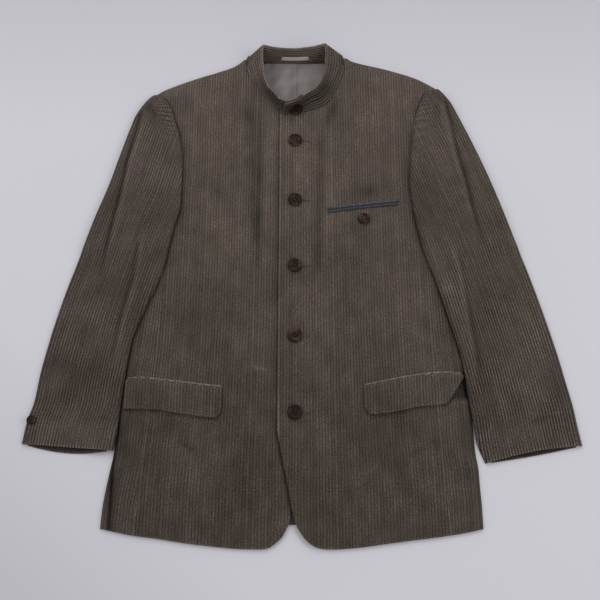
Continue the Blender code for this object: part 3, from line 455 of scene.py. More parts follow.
def left_front_top(x, y):
    """The grooves' height on the left front, with the lap."""
    return body_top(x, y) + (CLOTH + GAP) * lap(x)


def body_rib_top(x, y):
    """The height that anything on the body has to clear."""
    over = np.where(x > OVER_EDGE - 1.0, (CLOTH + GAP) * lap(x), 0.0)
    return body_top(x, y) + over + RIB_CLEARANCE


def body_tone(x, y):
    """The cloth's tone: lighter towards the shoulders, with soft strokes of painted shade and painted
    highlight along the folds and under the flaps.
    """
    tone = 0.97 + 0.25 * ease((y + 60.0) / 420.0) - 0.20 * ease((40.0 - y) / 380.0)
    for row in rows_of(STROKES):
        tone = tone + stroke(x, y, *row, STROKE_FADE)
    return tone + 0.08 * ripple(x, y, 150.0, 11) + 0.07 * ripple(x, y, 40.0, 12)


def ribbed(tone, wales, depth):
    """Darkens a tone in the grooves and lightens it on the wales, as a squared sine: painted shade in the
    grooves and a painted highlight on the wales.
    """
    return tone * (1.0 + depth * (np.sin(math.pi * wales) ** 2 - 0.5))


def patchy(x, y, seed):
    """How clearly the wales stand out, from faint to full, in uneven patches."""
    return np.clip(1.0 + 0.75 * ripple(x, y, 70.0, seed) + 0.4 * ripple(x, y, 24.0, seed + 1), 0.1, 2.2)


def fold_shade(side, out, up):
    """The painted shadow of the slit where a sleeve's inner fold or armhole seam meets the body: a narrow
    dark line beside it and a broad faint one."""
    seen = ease((side["sleeve"]["fold_up"][1] - up) / 20.0)
    return seen * bells(fold_at(side, up) - out, FOLD_PAINTED_SHADOW)


def flap_shade(shape, out, up):
    """The shadow that a hip flap throws on the cloth below its foot."""
    below = curve(shape, out, "bottom") - up
    span = ease((out - shape["out"][0] + 3.0) / 4.0) * ease((shape["out"][-1] + 3.0 - out) / 4.0)
    return -0.34 * span * ease(below + 1.0) * bell((below - 1.0) / 3.4)


def in_recess(out, up):
    """1 inside the turned-up corner's triangle and 0 outside: the least distance from its sides."""
    inside = np.full(np.shape(out), 99.0)
    for (x0, y0), (x1, y1) in zip(RECESS["corners"], RECESS["corners"][1:] + RECESS["corners"][:1]):
        length = math.hypot(x1 - x0, y1 - y0)
        inside = np.minimum(inside, ((x1 - x0) * (up - y0) - (y1 - y0) * (out - x0)) / length)
    return ease((inside + 1.5) / 4.5)


def plan_shift():
    """From the plan's origin to the frame's, in metres, by the left front's own box."""
    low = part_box("left_front")[0]
    return np.array((low[0] - OVER_EDGE * MM, low[1] - LOWEST_HEM * MM, 0.0))


def to_frame(points):
    """Plan millimetres to the frame's metres."""
    return points * MM + plan_shift()


def plan_middle(node):
    """The middle of a CAD node's box in plan millimetres."""
    low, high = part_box(node)
    return ((np.array(low) + np.array(high)) / 2 - plan_shift()) / MM


def faces_of_shell(rows, columns, inner_columns):
    """Quads and triangles of a closed shell between two grids whose inner columns lie under every
    few of the outer ones: the two sheets, a strip up each side, and fans along both ends."""
    outer = np.arange(rows * columns).reshape(rows, columns)
    inner = np.arange(rows * inner_columns).reshape(rows, inner_columns) + rows * columns
    every = (columns - 1) // (inner_columns - 1)
    quads = [
        np.stack((outer[:-1, :-1], outer[:-1, 1:], outer[1:, 1:], outer[1:, :-1]), axis=-1),
        np.stack((inner[:-1, :-1], inner[1:, :-1], inner[1:, 1:], inner[:-1, 1:]), axis=-1),
        np.stack((outer[:-1, 0], outer[1:, 0], inner[1:, 0], inner[:-1, 0]), axis=-1),
        np.stack((outer[1:, -1], outer[:-1, -1], inner[:-1, -1], inner[1:, -1]), axis=-1),
    ]
    under = np.arange(columns - 1) // every
    ends = np.arange(1, inner_columns) * every
    triangles = [
        np.stack((outer[0, 1:], outer[0, :-1], inner[0, under]), axis=-1),
        np.stack((inner[0, :-1], inner[0, 1:], outer[0, ends]), axis=-1),
        np.stack((outer[-1, :-1], outer[-1, 1:], inner[-1, under]), axis=-1),
        np.stack((inner[-1, 1:], inner[-1, :-1], outer[-1, ends]), axis=-1),
    ]
    return np.concatenate([q.reshape(-1, 4) for q in quads]), np.concatenate(triangles)


def mesh_from(name, points, quads, triangles, uv, tone):
    """A mesh object from whole arrays: doubles joined, empty faces dropped, outsides outwards."""
    rounded = np.round(points, 4)
    _, first, same = np.unique(rounded, axis=0, return_index=True, return_inverse=True)
    same = same.reshape(-1)
    joined = same[quads]
    twin = joined == np.roll(joined, -1, axis=1)
    whole = twin.sum(axis=1) == 0
    short = twin.sum(axis=1) == 1
    cut = quads[short][~twin[short]].reshape(-1, 3)
    triangles = np.concatenate((triangles, cut)) if len(triangles) else cut
    quads = quads[whole]
    corner = same[triangles]
    real = (corner[:, 0] != corner[:, 1]) & (corner[:, 1] != corner[:, 2]) & (corner[:, 2] != corner[:, 0])
    triangles = triangles[real]
    a, b, c = (points[np.concatenate((quads[:, i], triangles[:, j]))] for i, j in ((0, 0), (1, 1), (2, 2)))
    volume = np.einsum("ij,ij->", a, np.cross(b, c))
    c2, d = points[quads[:, 2]], points[quads[:, 3]]
    volume = volume + np.einsum("ij,ij->", points[quads[:, 0]], np.cross(c2, d))
    if volume < 0:
        quads = quads[:, ::-1]
        triangles = triangles[:, ::-1]
    corners = np.concatenate((quads.ravel(), triangles.ravel()))
    starts = np.concatenate((
        np.arange(len(quads)) * 4,
        len(quads) * 4 + np.arange(len(triangles)) * 3))
    mesh = bpy.data.meshes.new(name)
    mesh.vertices.add(len(first))
    mesh.vertices.foreach_set("co", to_frame(points[first]).astype(np.float32).ravel())
    mesh.loops.add(len(corners))
    mesh.loops.foreach_set("vertex_index", same[corners].astype(np.int32))
    mesh.polygons.add(len(starts))
    mesh.polygons.foreach_set("loop_start", starts.astype(np.int32))
    mesh.update(calc_edges=True)
    mesh.uv_layers.new(name="wales").data.foreach_set("uv", uv[corners].astype(np.float32).ravel())
    mesh.attributes.new("tone", "FLOAT", "POINT").data.foreach_set(
        "value", tone[first].astype(np.float32))
    mesh.validate()
    mesh.shade_smooth()
    mesh.set_sharp_from_angle(angle=math.radians(62))
    thing = bpy.data.objects.new(name, mesh)
    bpy.context.scene.collection.objects.link(thing)
    return thing


def shell(name, outer, inner, outer_uv, outer_tone):
    """A closed shell from an outer grid and an inner one under every few of its columns."""
    rows, columns = outer.shape[:2]
    quads, triangles = faces_of_shell(rows, columns, inner.shape[1])
    every = (columns - 1) // (inner.shape[1] - 1)
    points = np.concatenate((outer.reshape(-1, 3), inner.reshape(-1, 3)))
    uv = np.concatenate((outer_uv.reshape(-1, 2), outer_uv[:, ::every].reshape(-1, 2)))
    inner_tone = 0.8 * outer_tone[:, ::every]
    tone = np.concatenate((outer_tone.ravel(), inner_tone.ravel()))
    return mesh_from(name, points, quads, triangles, uv, tone)


def cut_rows(out, up, limit):
    """End each row where it meets the limit: the points past it all move to that place, which
    lies on the line between the last point before it and the first one past it."""
    past = out > limit
    first = np.where(past.any(axis=1), np.argmax(past, axis=1), out.shape[1] - 1)
    last = np.maximum(first - 1, 0)
    row = np.arange(out.shape[0])
    room = limit[row, last] - out[row, last]
    share = np.clip(room / (room + out[row, first] - limit[row, first] + 1e-9), 0.0, 1.0)
    spot_out = out[row, last] + share * (out[row, first] - out[row, last])
    spot_up = up[row, last] + share * (up[row, first] - up[row, last])
    return np.where(past, spot_out[:, None], out), np.where(past, spot_up[:, None], up), past


def wale_columns(start, stop, wale):
    """Column places from start to at least stop: a whole number of wales, finely stepped."""
    count = int(math.ceil((stop - start) / wale))
    return start + np.arange(count * STEPS + 1) * (wale / STEPS)


def front_plan(side, columns, inset, roll):
    """Where a front's points lie.  Each column runs from the hem's curve to the shoulder's, with
    close rows at both ends, and the rows end at the side seam."""
    flare = 1.0 + side["flare"] * (columns > 0)
    foot = curve(side["hem"], columns * flare)
    shoulder = ease((columns - side["neck_out"]) / 14.0)
    head = curve(side["top"], columns) - inset * shoulder
    starts = np.array((0.0, 0.6, 1.6, 3.2))[:, None]
    band = 16.0 - inset
    run = np.linspace(0.0, 1.0, int(FRONT_LENGTH / ROW))[:, None]
    low = foot + starts
    middle = foot + 5.0 + run * (head - band - foot - 5.0)
    high = head - np.array((1.0, 0.7, 0.45, 0.25, 0.12, 0.04, 0.0))[:, None] * roll
    up = np.concatenate((low, middle, high))
    out = np.broadcast_to(columns, up.shape).copy()
    spread = 1.0 + side["flare"] * ease(-up / 350.0)
    out = np.where(out > 0, out * spread, out)
    sway = 0.5 * ripple(out, up, 170.0, 21) * ease((out - OVER_EDGE) / 30.0)
    out = out + sway * ease((up - foot) / 40.0) * ease((head - up) / 60.0)
    near_head = head - up
    near_foot = up - foot
    limit = curve(side["seam"], up)
    out, up, past = cut_rows(out, up, limit)
    return out, up, near_head, near_foot, np.broadcast_to(shoulder, up.shape), past


def front_tone(side, out, up, free, foot):
    """A front's tone: light along its edges, partly wear and partly painted highlight, a dashed painted
    highlight along its side seam, painted shade beside the sleeve and under the flap, and on the right front
    the painted shadow of the left one's edge."""
    x = side["sign"] * out
    # Light along the free edge and the hem, partly wear and partly painted highlight; the free edge's line
    # grows stronger and wider towards the hem
    worn = ease((-120.0 - up) / 80.0)
    tone = body_tone(x, up) + (0.55 + 0.35 * worn) * bell((free - 1.2) / (1.1 + 0.9 * worn))
    tone = tone + 0.30 * bell((foot - 0.8) / 1.2)
    # A painted highlight along the side seam, in dashes, stronger low down
    low = ease((30.0 - up) / 120.0)
    dashed = 0.25 + 0.30 * low * np.clip(0.8 + ripple(up, up * 0.0, 14.0, 42), 0.2, 1.6)
    tone = tone + dashed * bell((curve(side["seam"], up) - out - 1.0) / 1.3)
    tone = tone + fold_shade(side, out, up) + flap_shade(FLAPS[side["word"]], out, up)
    # The painted shadow of the left front's edge on the right front
    if side is RIGHT:
        over = np.interp(-up, -LEFT["hem"]["up"][:6], LEFT["hem"]["out"][:6])
        deep = ease((-170.0 - up) / 60.0)
        tone = tone - (0.34 + 0.14 * deep) * bell((x - over + 1.5) / (1.8 + 1.4 * deep))
    return tone


def front_shell(name, side, columns, top, under, shown, cloth):
    """A front: its height is the body's loft with its wales on it, rounded off along the free
    edge and the hem and rolled down to the surface along the shoulder."""
    out, up, near, foot, shoulder, past = front_plan(side, columns, 0.0, ROLL)
    x = side["sign"] * out
    wales = (columns - columns[0]) / cloth.wale
    ridges = np.where(past, 0.0, uneven_wales(cloth, wales, out, up, 60.0, 31) * shown(out))
    ridges = ridges * ease(near / 3.0 + 1.0 - shoulder)
    free = out - columns[0]
    edge = 0.45 + 0.55 * quarter(free / EDGE_ROUND)
    hem = 0.5 + 0.5 * quarter(foot / EDGE_ROUND)
    z = top(x, up) + 0.22 * ripple(x, up, 55.0, 41) * ease(free / 20.0)
    z = z - (1.0 - edge * hem) * 2.2
    z = (z + ridges * edge) * (1.0 - shoulder * (1.0 - quarter(near / ROLL)))
    tone = ribbed(front_tone(side, out, up, free, foot), wales, 0.12 * patchy(x, up, 21))
    outer = grid_of(x, up, z)
    uv = grid_of(wales, up / cloth.wale)
    out, up, near, foot, shoulder, past = front_plan(side, columns[::STEPS], CLOTH, ROLL - CLOTH)
    x = side["sign"] * out
    z = np.minimum(top(x, up) - CLOTH, under(x, up))
    z = z * (1.0 - shoulder * (1.0 - quarter(near / (ROLL - CLOTH))))
    return shell(name, outer, grid_of(x, up, z), uv, tone)


def make_left_front(cloth):
    """The front that laps over.  Its underside rises onto the right front's edge."""
    columns = wale_columns(OVER_EDGE, LEFT["front_width"], cloth.wale)

    def under(x, y):
        free = BACK_CLOTH + HOLLOW
        on_right = body_top(x, y) + GAP
        return free + (on_right - free) * ease((-UNDER_EDGE + 14.0 - x) / 12.0)

    return front_shell("left_front_cloth", LEFT, columns, left_front_top, under, np.ones_like, cloth)


def make_right_front(cloth):
    """The front under the lap.  Its wales are flat where the left front presses on them."""
    columns = wale_columns(UNDER_EDGE, RIGHT["front_width"], cloth.wale)

    def shown(out):
        return ease((out + OVER_EDGE - 0.5) / 1.5)

    def under(x, y):
        return np.full_like(x, BACK_CLOTH + HOLLOW)

    return front_shell("right_front_cloth", RIGHT, columns, body_top, under, shown, cloth)


def unrolled(arc):
    """How far in from a rolled edge a place is, from its distance along the cloth: a quarter
    turn of a circle, then straight."""
    round_edge = ROLL * (1.0 - np.cos(np.clip(arc / TURN, 0.0, 1.0) * math.pi / 2))
    return np.where(arc < TURN, round_edge, arc - TURN + ROLL)


def make_side_panel(name, side, cloth):
    """The strip between a front's seam and the folded side: a quarter ellipse up from the
    surface, then the body's loft, with its wales parallel to the fold."""
    sign = side["sign"]
    share = np.linspace(0.0, 1.0, int(SIDE_LENGTH / ROW))[:, None]

    def plan(into, inset):
        low_edge = curve(side["edge"], np.full(into.shape, -350.0))
        low = curve(side["hem"], low_edge - into - inset)
        up = low + share * (UNDERARM - low)
        most = curve(side["edge"], up) - curve(side["seam"], up) - 0.4
        away = np.broadcast_to(into + inset, up.shape).copy()
        away, up, past = cut_rows(away, up, most)
        foot = up - curve(side["hem"], curve(side["edge"], up) - away)
        return away, up, past, foot

    arc = wale_columns(0.0, SIDE_WIDTH, cloth.wale)
    wales = arc / cloth.wale
    away, up, past, foot = plan(unrolled(arc), 0.0)
    out = curve(side["edge"], up) - away
    x = sign * out
    ridges = np.where(past, 0.0, uneven_wales(cloth, wales, out, up, 60.0, 32)) * ease(away / 3.0)
    hem = 0.5 + 0.5 * quarter(foot / EDGE_ROUND)
    z = body_top(x, up) * quarter(away / ROLL) * (0.6 + 0.4 * hem) + ridges * hem
    # Light along the hem, partly wear and partly painted highlight, painted shade beside the sleeve's fold,
    # the flap's painted shadow, and a painted highlight beside the side seam
    tone = body_tone(x, up) + 0.25 * bell((foot - 0.8) / 1.2)
    tone = tone + fold_shade(side, out, up) + flap_shade(FLAPS[side["word"]], out, up)
    tone = tone + 0.20 * bell((out - curve(side["seam"], up) - 1.6) / 1.2)
    # The turned-up corner's recess: sunk, with painted shade in it, and a painted highlight on the fold
    # below it
    if side is LEFT:
        turned_up = in_recess(out, up)
        z = z - RECESS["depth"] * turned_up
        tone = tone + RECESS["tone"] * turned_up + stroke(out, up, *RECESS["lip"])
    tone = ribbed(tone, wales, 0.16 * patchy(x, up, 23))
    outer = grid_of(x, up, np.maximum(z, 0.0))
    uv = grid_of(wales, up / cloth.wale)
    away, up, past, foot = plan(unrolled(arc[::STEPS]), CLOTH)
    x = sign * (curve(side["edge"], up) - away)
    z = (body_top(x, up) - CLOTH) * quarter((away - CLOTH) / (ROLL - CLOTH))
    return shell(name, outer, grid_of(x, up, z), uv, tone)


def seat(side, out, up):
    """The floor of the under sleeve: the surface, or the body's side that it lies on."""
    edge = curve(side["edge"], up)
    body = BACK_CLOTH + GAP + CLOTH + 0.1 + RIB_CLEARANCE + GAP
    across = ease((edge + 50.0 - out) / 38.0)
    along = ease((192.0 - up) / 42.0) * ease((up - side["seat_end"]) / 40.0)
    return body * across * along


def sleeve_rows(side, first=0):
    """The rows of a sleeve from its cap to its cuff: outer point, direction inwards, width and
    share of the way down."""
    rows = side["sleeve"]
    stations = np.arange(len(rows["rim_out"]), dtype=float)
    at = np.linspace(0.25, stations[-1], SLEEVE_ROWS)[first:]
    rim_out, rim_up, fold_out, fold_up = (
        smooth(stations, rows[k], at)[:, None] for k in ("rim_out", "rim_up", "fold_out", "fold_up"))
    width = np.hypot(fold_out - rim_out, fold_up - rim_up)
    along = ((fold_out - rim_out) / width, (fold_up - rim_up) / width)
    return rim_out, rim_up, along, width, at[:, None] / stations[-1]


def along_table(shares, share):
    """1 between a table's first and last share, fading out at both ends."""
    return ease((share - shares[0]) / 0.06) * ease((shares[-1] - share) / 0.12)


def puckers(share, room):
    """The small slanting ripples of a sleeve's ease, from -1 to 1."""
    return np.sin(share * 300.0 + 0.10 * room)


def sleeve_loft(side, share, away, room):
    """How far the top sleeve stands above the under one: a head, a soft middle, long creases and
    the small puckers of its ease along the armhole seam."""
    head = 8.0 * ease(1.0 - share / 0.42)
    crown = ease(away / 40.0) * ease(room / 40.0)
    total = (1.6 + head) * crown + 0.6
    place = away - curve(side["crease"], share)
    ends = along_table(side["crease"]["share"], share)
    total = total + ends * bells(place, CREASE_LOFT)
    place = room - curve(SLEEVE_RIDGE, share)
    ends = along_table(SLEEVE_RIDGE["share"], share)
    total = total + ends * bells(place, RIDGE_LOFT)
    for start, stop, first, last, half, high in rows_of(SLEEVE_FOLDS):
        middle = 0.5 * (start + stop)
        reach = 0.5 * (stop - start)
        ends = ease((reach - np.abs(share - middle)) / (0.5 * reach))
        place = first + (last - first) * (share - start) / (stop - start)
        place = place + 2.0 * np.sin(share * 17.0 + first)
        total = total + high * ends * bell((away - place) / half)
    pucker = puckers(share, room) * bell((room - 9.0) / 11.0)
    total = total + 0.5 * pucker * ease((0.36 - share) / 0.10)
    return np.maximum(total, 1.2)


def cuff_bow(side, key, out, up, away, width):
    """Moves the last rows of a sleeve along it, most in the middle of the cuff: its hem bows."""
    run_out = out[-1] - out[-6]
    run_up = up[-1] - up[-6]
    length = np.hypot(run_out, run_up)
    rows = np.arange(out.shape[0])[:, None]
    share = ease((rows - (out.shape[0] - 9.0)) / 8.0)
    bow = side[key] * np.sin(np.clip(away / width, 0.0, 1.0) * math.pi) * share
    return out + bow * run_out / length, up + bow * run_up / length


def sleeve_surface(side, away, inset, roll, rows):
    """The plan place and height of points on a top sleeve, at a distance in from its outer edge:
    quarter ellipses down both edges of the loft over whatever lies below."""
    rim_out, rim_up, along, width, share = rows
    away = np.minimum(away, width)
    out = rim_out + along[0] * away
    up = rim_up + along[1] * away
    room = width - away
    low = seat(side, out, up)
    on_body = (body_rib_top(side["sign"] * out, up) + RIB_CLEARANCE) * ease((up - 60.0) / 30.0)
    rest = np.maximum(low, on_body)
    full = low + UNDER_CLOTH + GAP + CLOTH + sleeve_loft(side, share, away, room)
    full = full + 0.25 * ripple(out, up, 50.0, 43) * ease(away / 30.0) * ease(room / 30.0)
    full = np.maximum(full, rest + CLOTH + 0.5)
    if inset:
        full = np.minimum(full - inset, np.maximum(low + UNDER_CLOTH, rest - GAP) + HOLLOW)
    rim = quarter((away - inset) / roll)
    fold = quarter((room - inset) / roll)
    z = full - full * (1.0 - rim) - (full - rest) * (1.0 - fold)
    z = np.maximum(z, rest * np.clip((away - inset) / (width - 2 * inset), 0.0, 1.0))
    out, up = cuff_bow(side, "cuff_top", out, up, away, width)
    return out, up, z, room


def sleeve_tone(side, out, up, away, room, share):
    """The sleeve's tone: soft patches, painted shade along the creases and painted highlights along their
    ridges, and painted light and shade on the puckers of the cap, with painted shade below them."""
    looks = side["sleeve_looks"]
    seed = looks["seed"]
    tone = 0.93 + 0.07 * ripple(out, up, 120.0, seed) + 0.06 * ripple(out, up, 40.0, seed + 1)
    tone = tone + 0.12 * ease((up - 150.0) / 200.0) - 0.11 * ease((20.0 - up) / 160.0)
    place = away - curve(side["crease"], share)
    tone = tone + along_table(side["crease"]["share"], share) * bells(place, CREASE_PAINTED_SHADE)
    place = room - curve(SLEEVE_RIDGE, share)
    tone = tone + along_table(SLEEVE_RIDGE["share"], share) * bells(place, RIDGE_PAINTED_HIGHLIGHT)
    tone = tone - looks["dim"] * bell((up - 10.0) / 95.0) - 0.10 * bell((away - 2.0) / 8.0)
    # Painted light and shade on the cap's puckers, and painted shade in a patch below them
    pucker_painted_light = puckers(share, room) * bell((room - 12.0) / 13.0) * ease((0.31 - share) / 0.10)
    cap_painted_shade = bell((room - 34.0) / 8.0) * bell((share - 0.17) / 0.05)
    return tone + looks["puckers"] * (pucker_painted_light - 0.5 * cap_painted_shade)


def make_sleeve_top(name, side, cloth):
    """A top sleeve.  Its wales run along the outer edge and end in the armhole and inner fold."""
    rows = sleeve_rows(side)
    rim_out, rim_up, _, width, share = rows
    arc = wale_columns(0.0, SLEEVE_WIDTH, cloth.wale)
    wales = arc / cloth.wale
    flat = np.broadcast_to(unrolled(arc), (SLEEVE_ROWS, len(arc)))
    out, up, z, room = sleeve_surface(side, flat, 0.0, ROLL, rows)
    ridges = np.where(flat > width, 0.0, uneven_wales(cloth, wales, out, up, 60.0, 33))
    z = z + ridges * ease(flat / 3.0) * ease(room / 2.0) * ease((share - share[0]) / 0.02)
    outer = grid_of(side["sign"] * out, up, z)
    steps = (np.diff(line[:, 0], prepend=line[0, 0]) for line in (rim_out, rim_up))
    run = np.cumsum(np.hypot(*steps))
    hem = (run[-1] - run)[:, None]
    tone = sleeve_tone(side, out, up, np.minimum(flat, width), room, share)
    # A little lighter over the turned-up hem inside, painted shade in patches along its upper edge, and a
    # painted highlight along the hem's rolled edge
    turned = np.clip(ripple(out, up, 26.0, 64), 0.0, 1.0)
    tone = tone + 0.07 * ease((42.0 - hem) / 8.0) - 0.26 * bell((hem - 45.0) / 5.0) * turned
    depth = side["sleeve_looks"]["ribs"] * (0.26 + 0.18 * ease((share - 0.45) / 0.3))
    depth = depth * patchy(out, up, 27) + 0.9 * bell(hem / 3.5)
    tone = ribbed(tone, wales, depth) + 0.30 * bell(hem / 2.0)
    uv = grid_of(wales, -run[:, None] / cloth.wale)
    part = np.linspace(0.0, 1.0, (len(arc) - 1) // STEPS + 1)
    ends = 0.5 - 0.5 * np.cos(part * math.pi)
    plain = CLOTH + (0.35 * ends + 0.65 * part) * (width - 2 * CLOTH)
    out, up, z, room = sleeve_surface(side, plain, CLOTH, ROLL - CLOTH, rows)
    return shell(name, outer, grid_of(side["sign"] * out, up, z), uv, tone)


def make_sleeve_under(name, side, cloth):
    """An under sleeve, which shows at the cuff: flat on what it lies on, its hem bowed."""
    rim_out, rim_up, along, width, share = sleeve_rows(side, UNDER_START)
    count = UNDER_WALES
    inset = ROLL + UNDER_MARGIN
    wales = np.linspace(0.0, count, count * STEPS + 1)
    away = inset + wales / count * (width - 2 * inset)
    out = rim_out + along[0] * away
    up = rim_up + along[1] * away
    z = seat(side, out, up)
    out, up = cuff_bow(side, "cuff_under", out, up, away, width)
    x = side["sign"] * out
    cuff = ease((share - 0.93) / 0.05)
    ridges = 0.5 * cloth.ridge * wale_profile(wales) * cuff
    # The under sleeve is seen only in the cuff's opening: painted shade all over, less at its hem row
    inside = np.full(out.shape, 0.30)
    inside[-1:] = 0.80
    return shell(name, grid_of(x, up, z + UNDER_CLOTH - 0.3 + ridges), grid_of(x, up, z)[:, ::STEPS],
                 grid_of(wales, up / cloth.wale), ribbed(inside, wales, 1.2))


def make_back(cloth):
    """The back: a flat sheet from the hem to the neck whose rows run between the folded sides."""
    up = np.array((-342.0, -290, -240, -170, -90, 0, 60, 93, 108, 122, 136, 150, 175, 220, 270, 310,
                   340, 356, 384, 400, 415, 426, 437))
    inset = ROLL + UNDER_MARGIN
    wide = []
    for side in (RIGHT, LEFT):
        seam = curve(side["seam"], up) - 2.5
        edge = curve(side["edge"], np.minimum(up, UNDERARM)) - inset
        share = ease((156.0 - up) / 62.0)
        out = seam + share * (edge - seam)
        top = side["top"]
        keep = top["out"] > side["neck_out"] + 4.0
        shoulder = smooth(-top["up"][keep], top["out"][keep], -(up + inset))
        out = np.where(up > 345.0, np.minimum(out, shoulder), out)
        out[-2:] = side["neck_out"] + np.array((4.0, -4.0))
        wide.append(side["sign"] * out)
    across = np.linspace(0.0, 1.0, 121)
    x = wide[0][:, None] + across * (wide[1] - wide[0])[:, None]
    rows = np.array(np.broadcast_to(up[:, None], x.shape))
    rows[-1] += 9.0 * ease((np.abs(2.0 * across - 1.0) - 0.75) / 0.25)
    return shell("back_cloth", grid_of(x, rows, BACK_CLOTH), grid_of(x, rows, 0.0),
                 grid_of(x, rows) / cloth.wale, np.full(x.shape, 0.75))


def make_lining():
    """The back neck's lining: a smooth sheet with a centre pleat, a soft step that leans over."""
    across = np.linspace(0.0, 1.0, 121)
    up_share = np.linspace(0.0, 1.0, 41)[:, None]
    x = -76.0 + 134.0 * across
    high = 429.4 - 9.0 * ease((np.abs(2.0 * across - 1.0) - 0.7) / 0.3)
    up = 336.0 + up_share * (high - 336.0)
    x = np.broadcast_to(x, up.shape)
    pleat = ease((x + 5.6) / 1.2)
    swell = 0.35 * ripple(x, up, 45.0, 71) + 0.25
    z = BACK_CLOTH + GAP + LINING_CLOTH + 0.7 * (1.0 - pleat) + 0.25 * swell * ease((428.0 - up) / 20.0)
    # The lining's tone: lighter to the right, the pleat's painted shade among soft bands, and two darker
    # patches
    tone = 0.94 + 0.10 * ease((x + 40.0) / 80.0) + bells(x, LINING_TONE) + 0.11 * ripple(x, up, 26.0, 72)
    tone = tone - 0.20 * bell((x - 22.0) / 7.0) * bell((up - 382.0) / 8.0)
    tone = tone - 0.10 * bell((x + 44.0) / 12.0) * bell((up - 408.0) / 16.0)
    return shell("neck_lining", grid_of(x, up, z), grid_of(x, up, BACK_CLOTH + GAP),
                 grid_of(x, up) * 0.1, tone)


def collar_band(shares, stations):
    """Points and outward directions on the collar's middle surface: straight lines that rise
    from the neck seam to the top edge, both smooth curves through the stations."""
    numbers = np.arange(len(COLLAR["base_x"]), dtype=float)
    base_x, base_y, top_x, top_y, top_z = (smooth(numbers, COLLAR[k], stations) for k in COLLAR)
    on_front = ease((425.0 - base_y) / 12.0)
    near = ((0.0, 0.0), (4.0, 0.0), (-4.0, 0.0), (0.0, 4.0), (0.0, -4.0))
    x, y = np.stack([(base_x + step_x, base_y + step_y) for step_x, step_y in near], axis=1)
    front_z = np.where(stations < 10.0, left_front_top(x, y), body_top(x, y)).max(axis=0)
    base_z = BACK_CLOTH + GAP + on_front * (front_z + RIB_CLEARANCE - BACK_CLOTH)
    base = grid_of(base_x, base_y, base_z)
    top = grid_of(top_x, top_y, top_z)
    points = base + (top - base) * shares[:, None, None]
    along = np.gradient(points, axis=1)
    rise = np.broadcast_to(top - base, points.shape)
    outward = np.cross(along, rise)
    return points, outward / np.linalg.norm(outward, axis=-1, keepdims=True)


def make_collar(cloth):
    """The stand collar: a profile carried round the neck, up its outer face, over a round top
    edge and down its inner face, with the wales running along it."""
    wales = np.linspace(0.0, COLLAR_RIBS, COLLAR_RIBS * STEPS + 1)
    stations = np.linspace(0.0, len(COLLAR["base_x"]) - 1.0, COLLAR_ROWS)
    half = COLLAR_CLOTH / 2
    bump = 0.85 * cloth.ridge * wale_profile(wales)
    turn = np.linspace(0.0, math.pi, 9)[1:-1]
    shares = np.concatenate((wales / COLLAR_RIBS, 1.0 + 0.035 * np.sin(turn), wales[::-1] / COLLAR_RIBS))
    offset = np.concatenate((half + bump, half * np.cos(turn), -half - bump[::-1]))
    points, outward = collar_band(shares, stations)
    waver = 0.35 * ripple(points[..., 0], points[..., 1], 24.0, 81)
    ring = points + outward * (offset[:, None, None] + (waver * shares[:, None])[..., None])
    ring[..., 2] = np.maximum(ring[..., 2], points[:1, :, 2])
    count = len(shares)
    grid = np.arange(count * len(stations)).reshape(count, len(stations))
    closed = np.concatenate((grid, grid[:1]))
    quads = [np.stack((closed[:-1, :-1], closed[:-1, 1:], closed[1:, 1:], closed[1:, :-1]), axis=-1)]
    side = count // 2
    for column, step in ((0, 1), (-1, -1)):
        near = grid[:side, column]
        far = grid[::-1][:side, column]
        quad = np.stack((near[:-1], near[1:], far[1:], far[:-1]), axis=-1)
        quads.append(quad[:, ::step].reshape(-1, 1, 4))
    middle = np.array([(grid[side - 1, c], grid[side, c], grid[side + 1, c]) for c in (0, -1)])
    triangles = np.stack((middle[0], middle[1][::-1]))
    quads = np.concatenate([q.reshape(-1, 4) for q in quads])
    run = np.cumsum(np.linalg.norm(np.diff(points[0], axis=0, prepend=points[0][:1]), axis=-1))
    place = np.concatenate((wales, np.full(len(turn), COLLAR_RIBS + 0.5), COLLAR_RIBS + 1 + wales))
    place = place[:, None]
    uv = grid_of(place, run / cloth.wale).reshape(-1, 2)
    level = shares[:, None]
    face = 1.0 * (offset[:, None] >= 0)
    # Painted light and shade on the collar: a painted highlight along its round top edge, the inner face
    # painted lighter, painted light near station 14 and near the base of the outer face, darker on the first
    # stations, and painted shade in the creased parts, where every second groove is painted darker still
    creased = ease((level - 0.15) / 0.35) * bells(stations, ((2.5, 2.2, 1.0), (17.0, 2.3, 1.0)))
    tone = 0.90 + 0.10 * ripple(points[..., 0], points[..., 1], 40.0, 82) + 0.40 * bell((level - 1.0) / 0.05)
    tone = tone + 0.48 * (1.0 - face) + face * (
        0.34 * bell((stations - 14.2) / 2.4) - 0.14 * ease((9.0 - stations) / 2.0)
        + 0.12 * ease((0.3 - level) / 0.3) - 0.20 * creased)
    second = 0.5 - 0.5 * np.cos(math.pi * place)
    tone = tone * (1.0 - 0.85 * second ** 2 * creased * face)
    tone = ribbed(tone, place, 0.60 + 0.80 * creased)
    return mesh_from("collar_cloth", ring.reshape(-1, 3), quads, triangles, uv, tone.ravel())


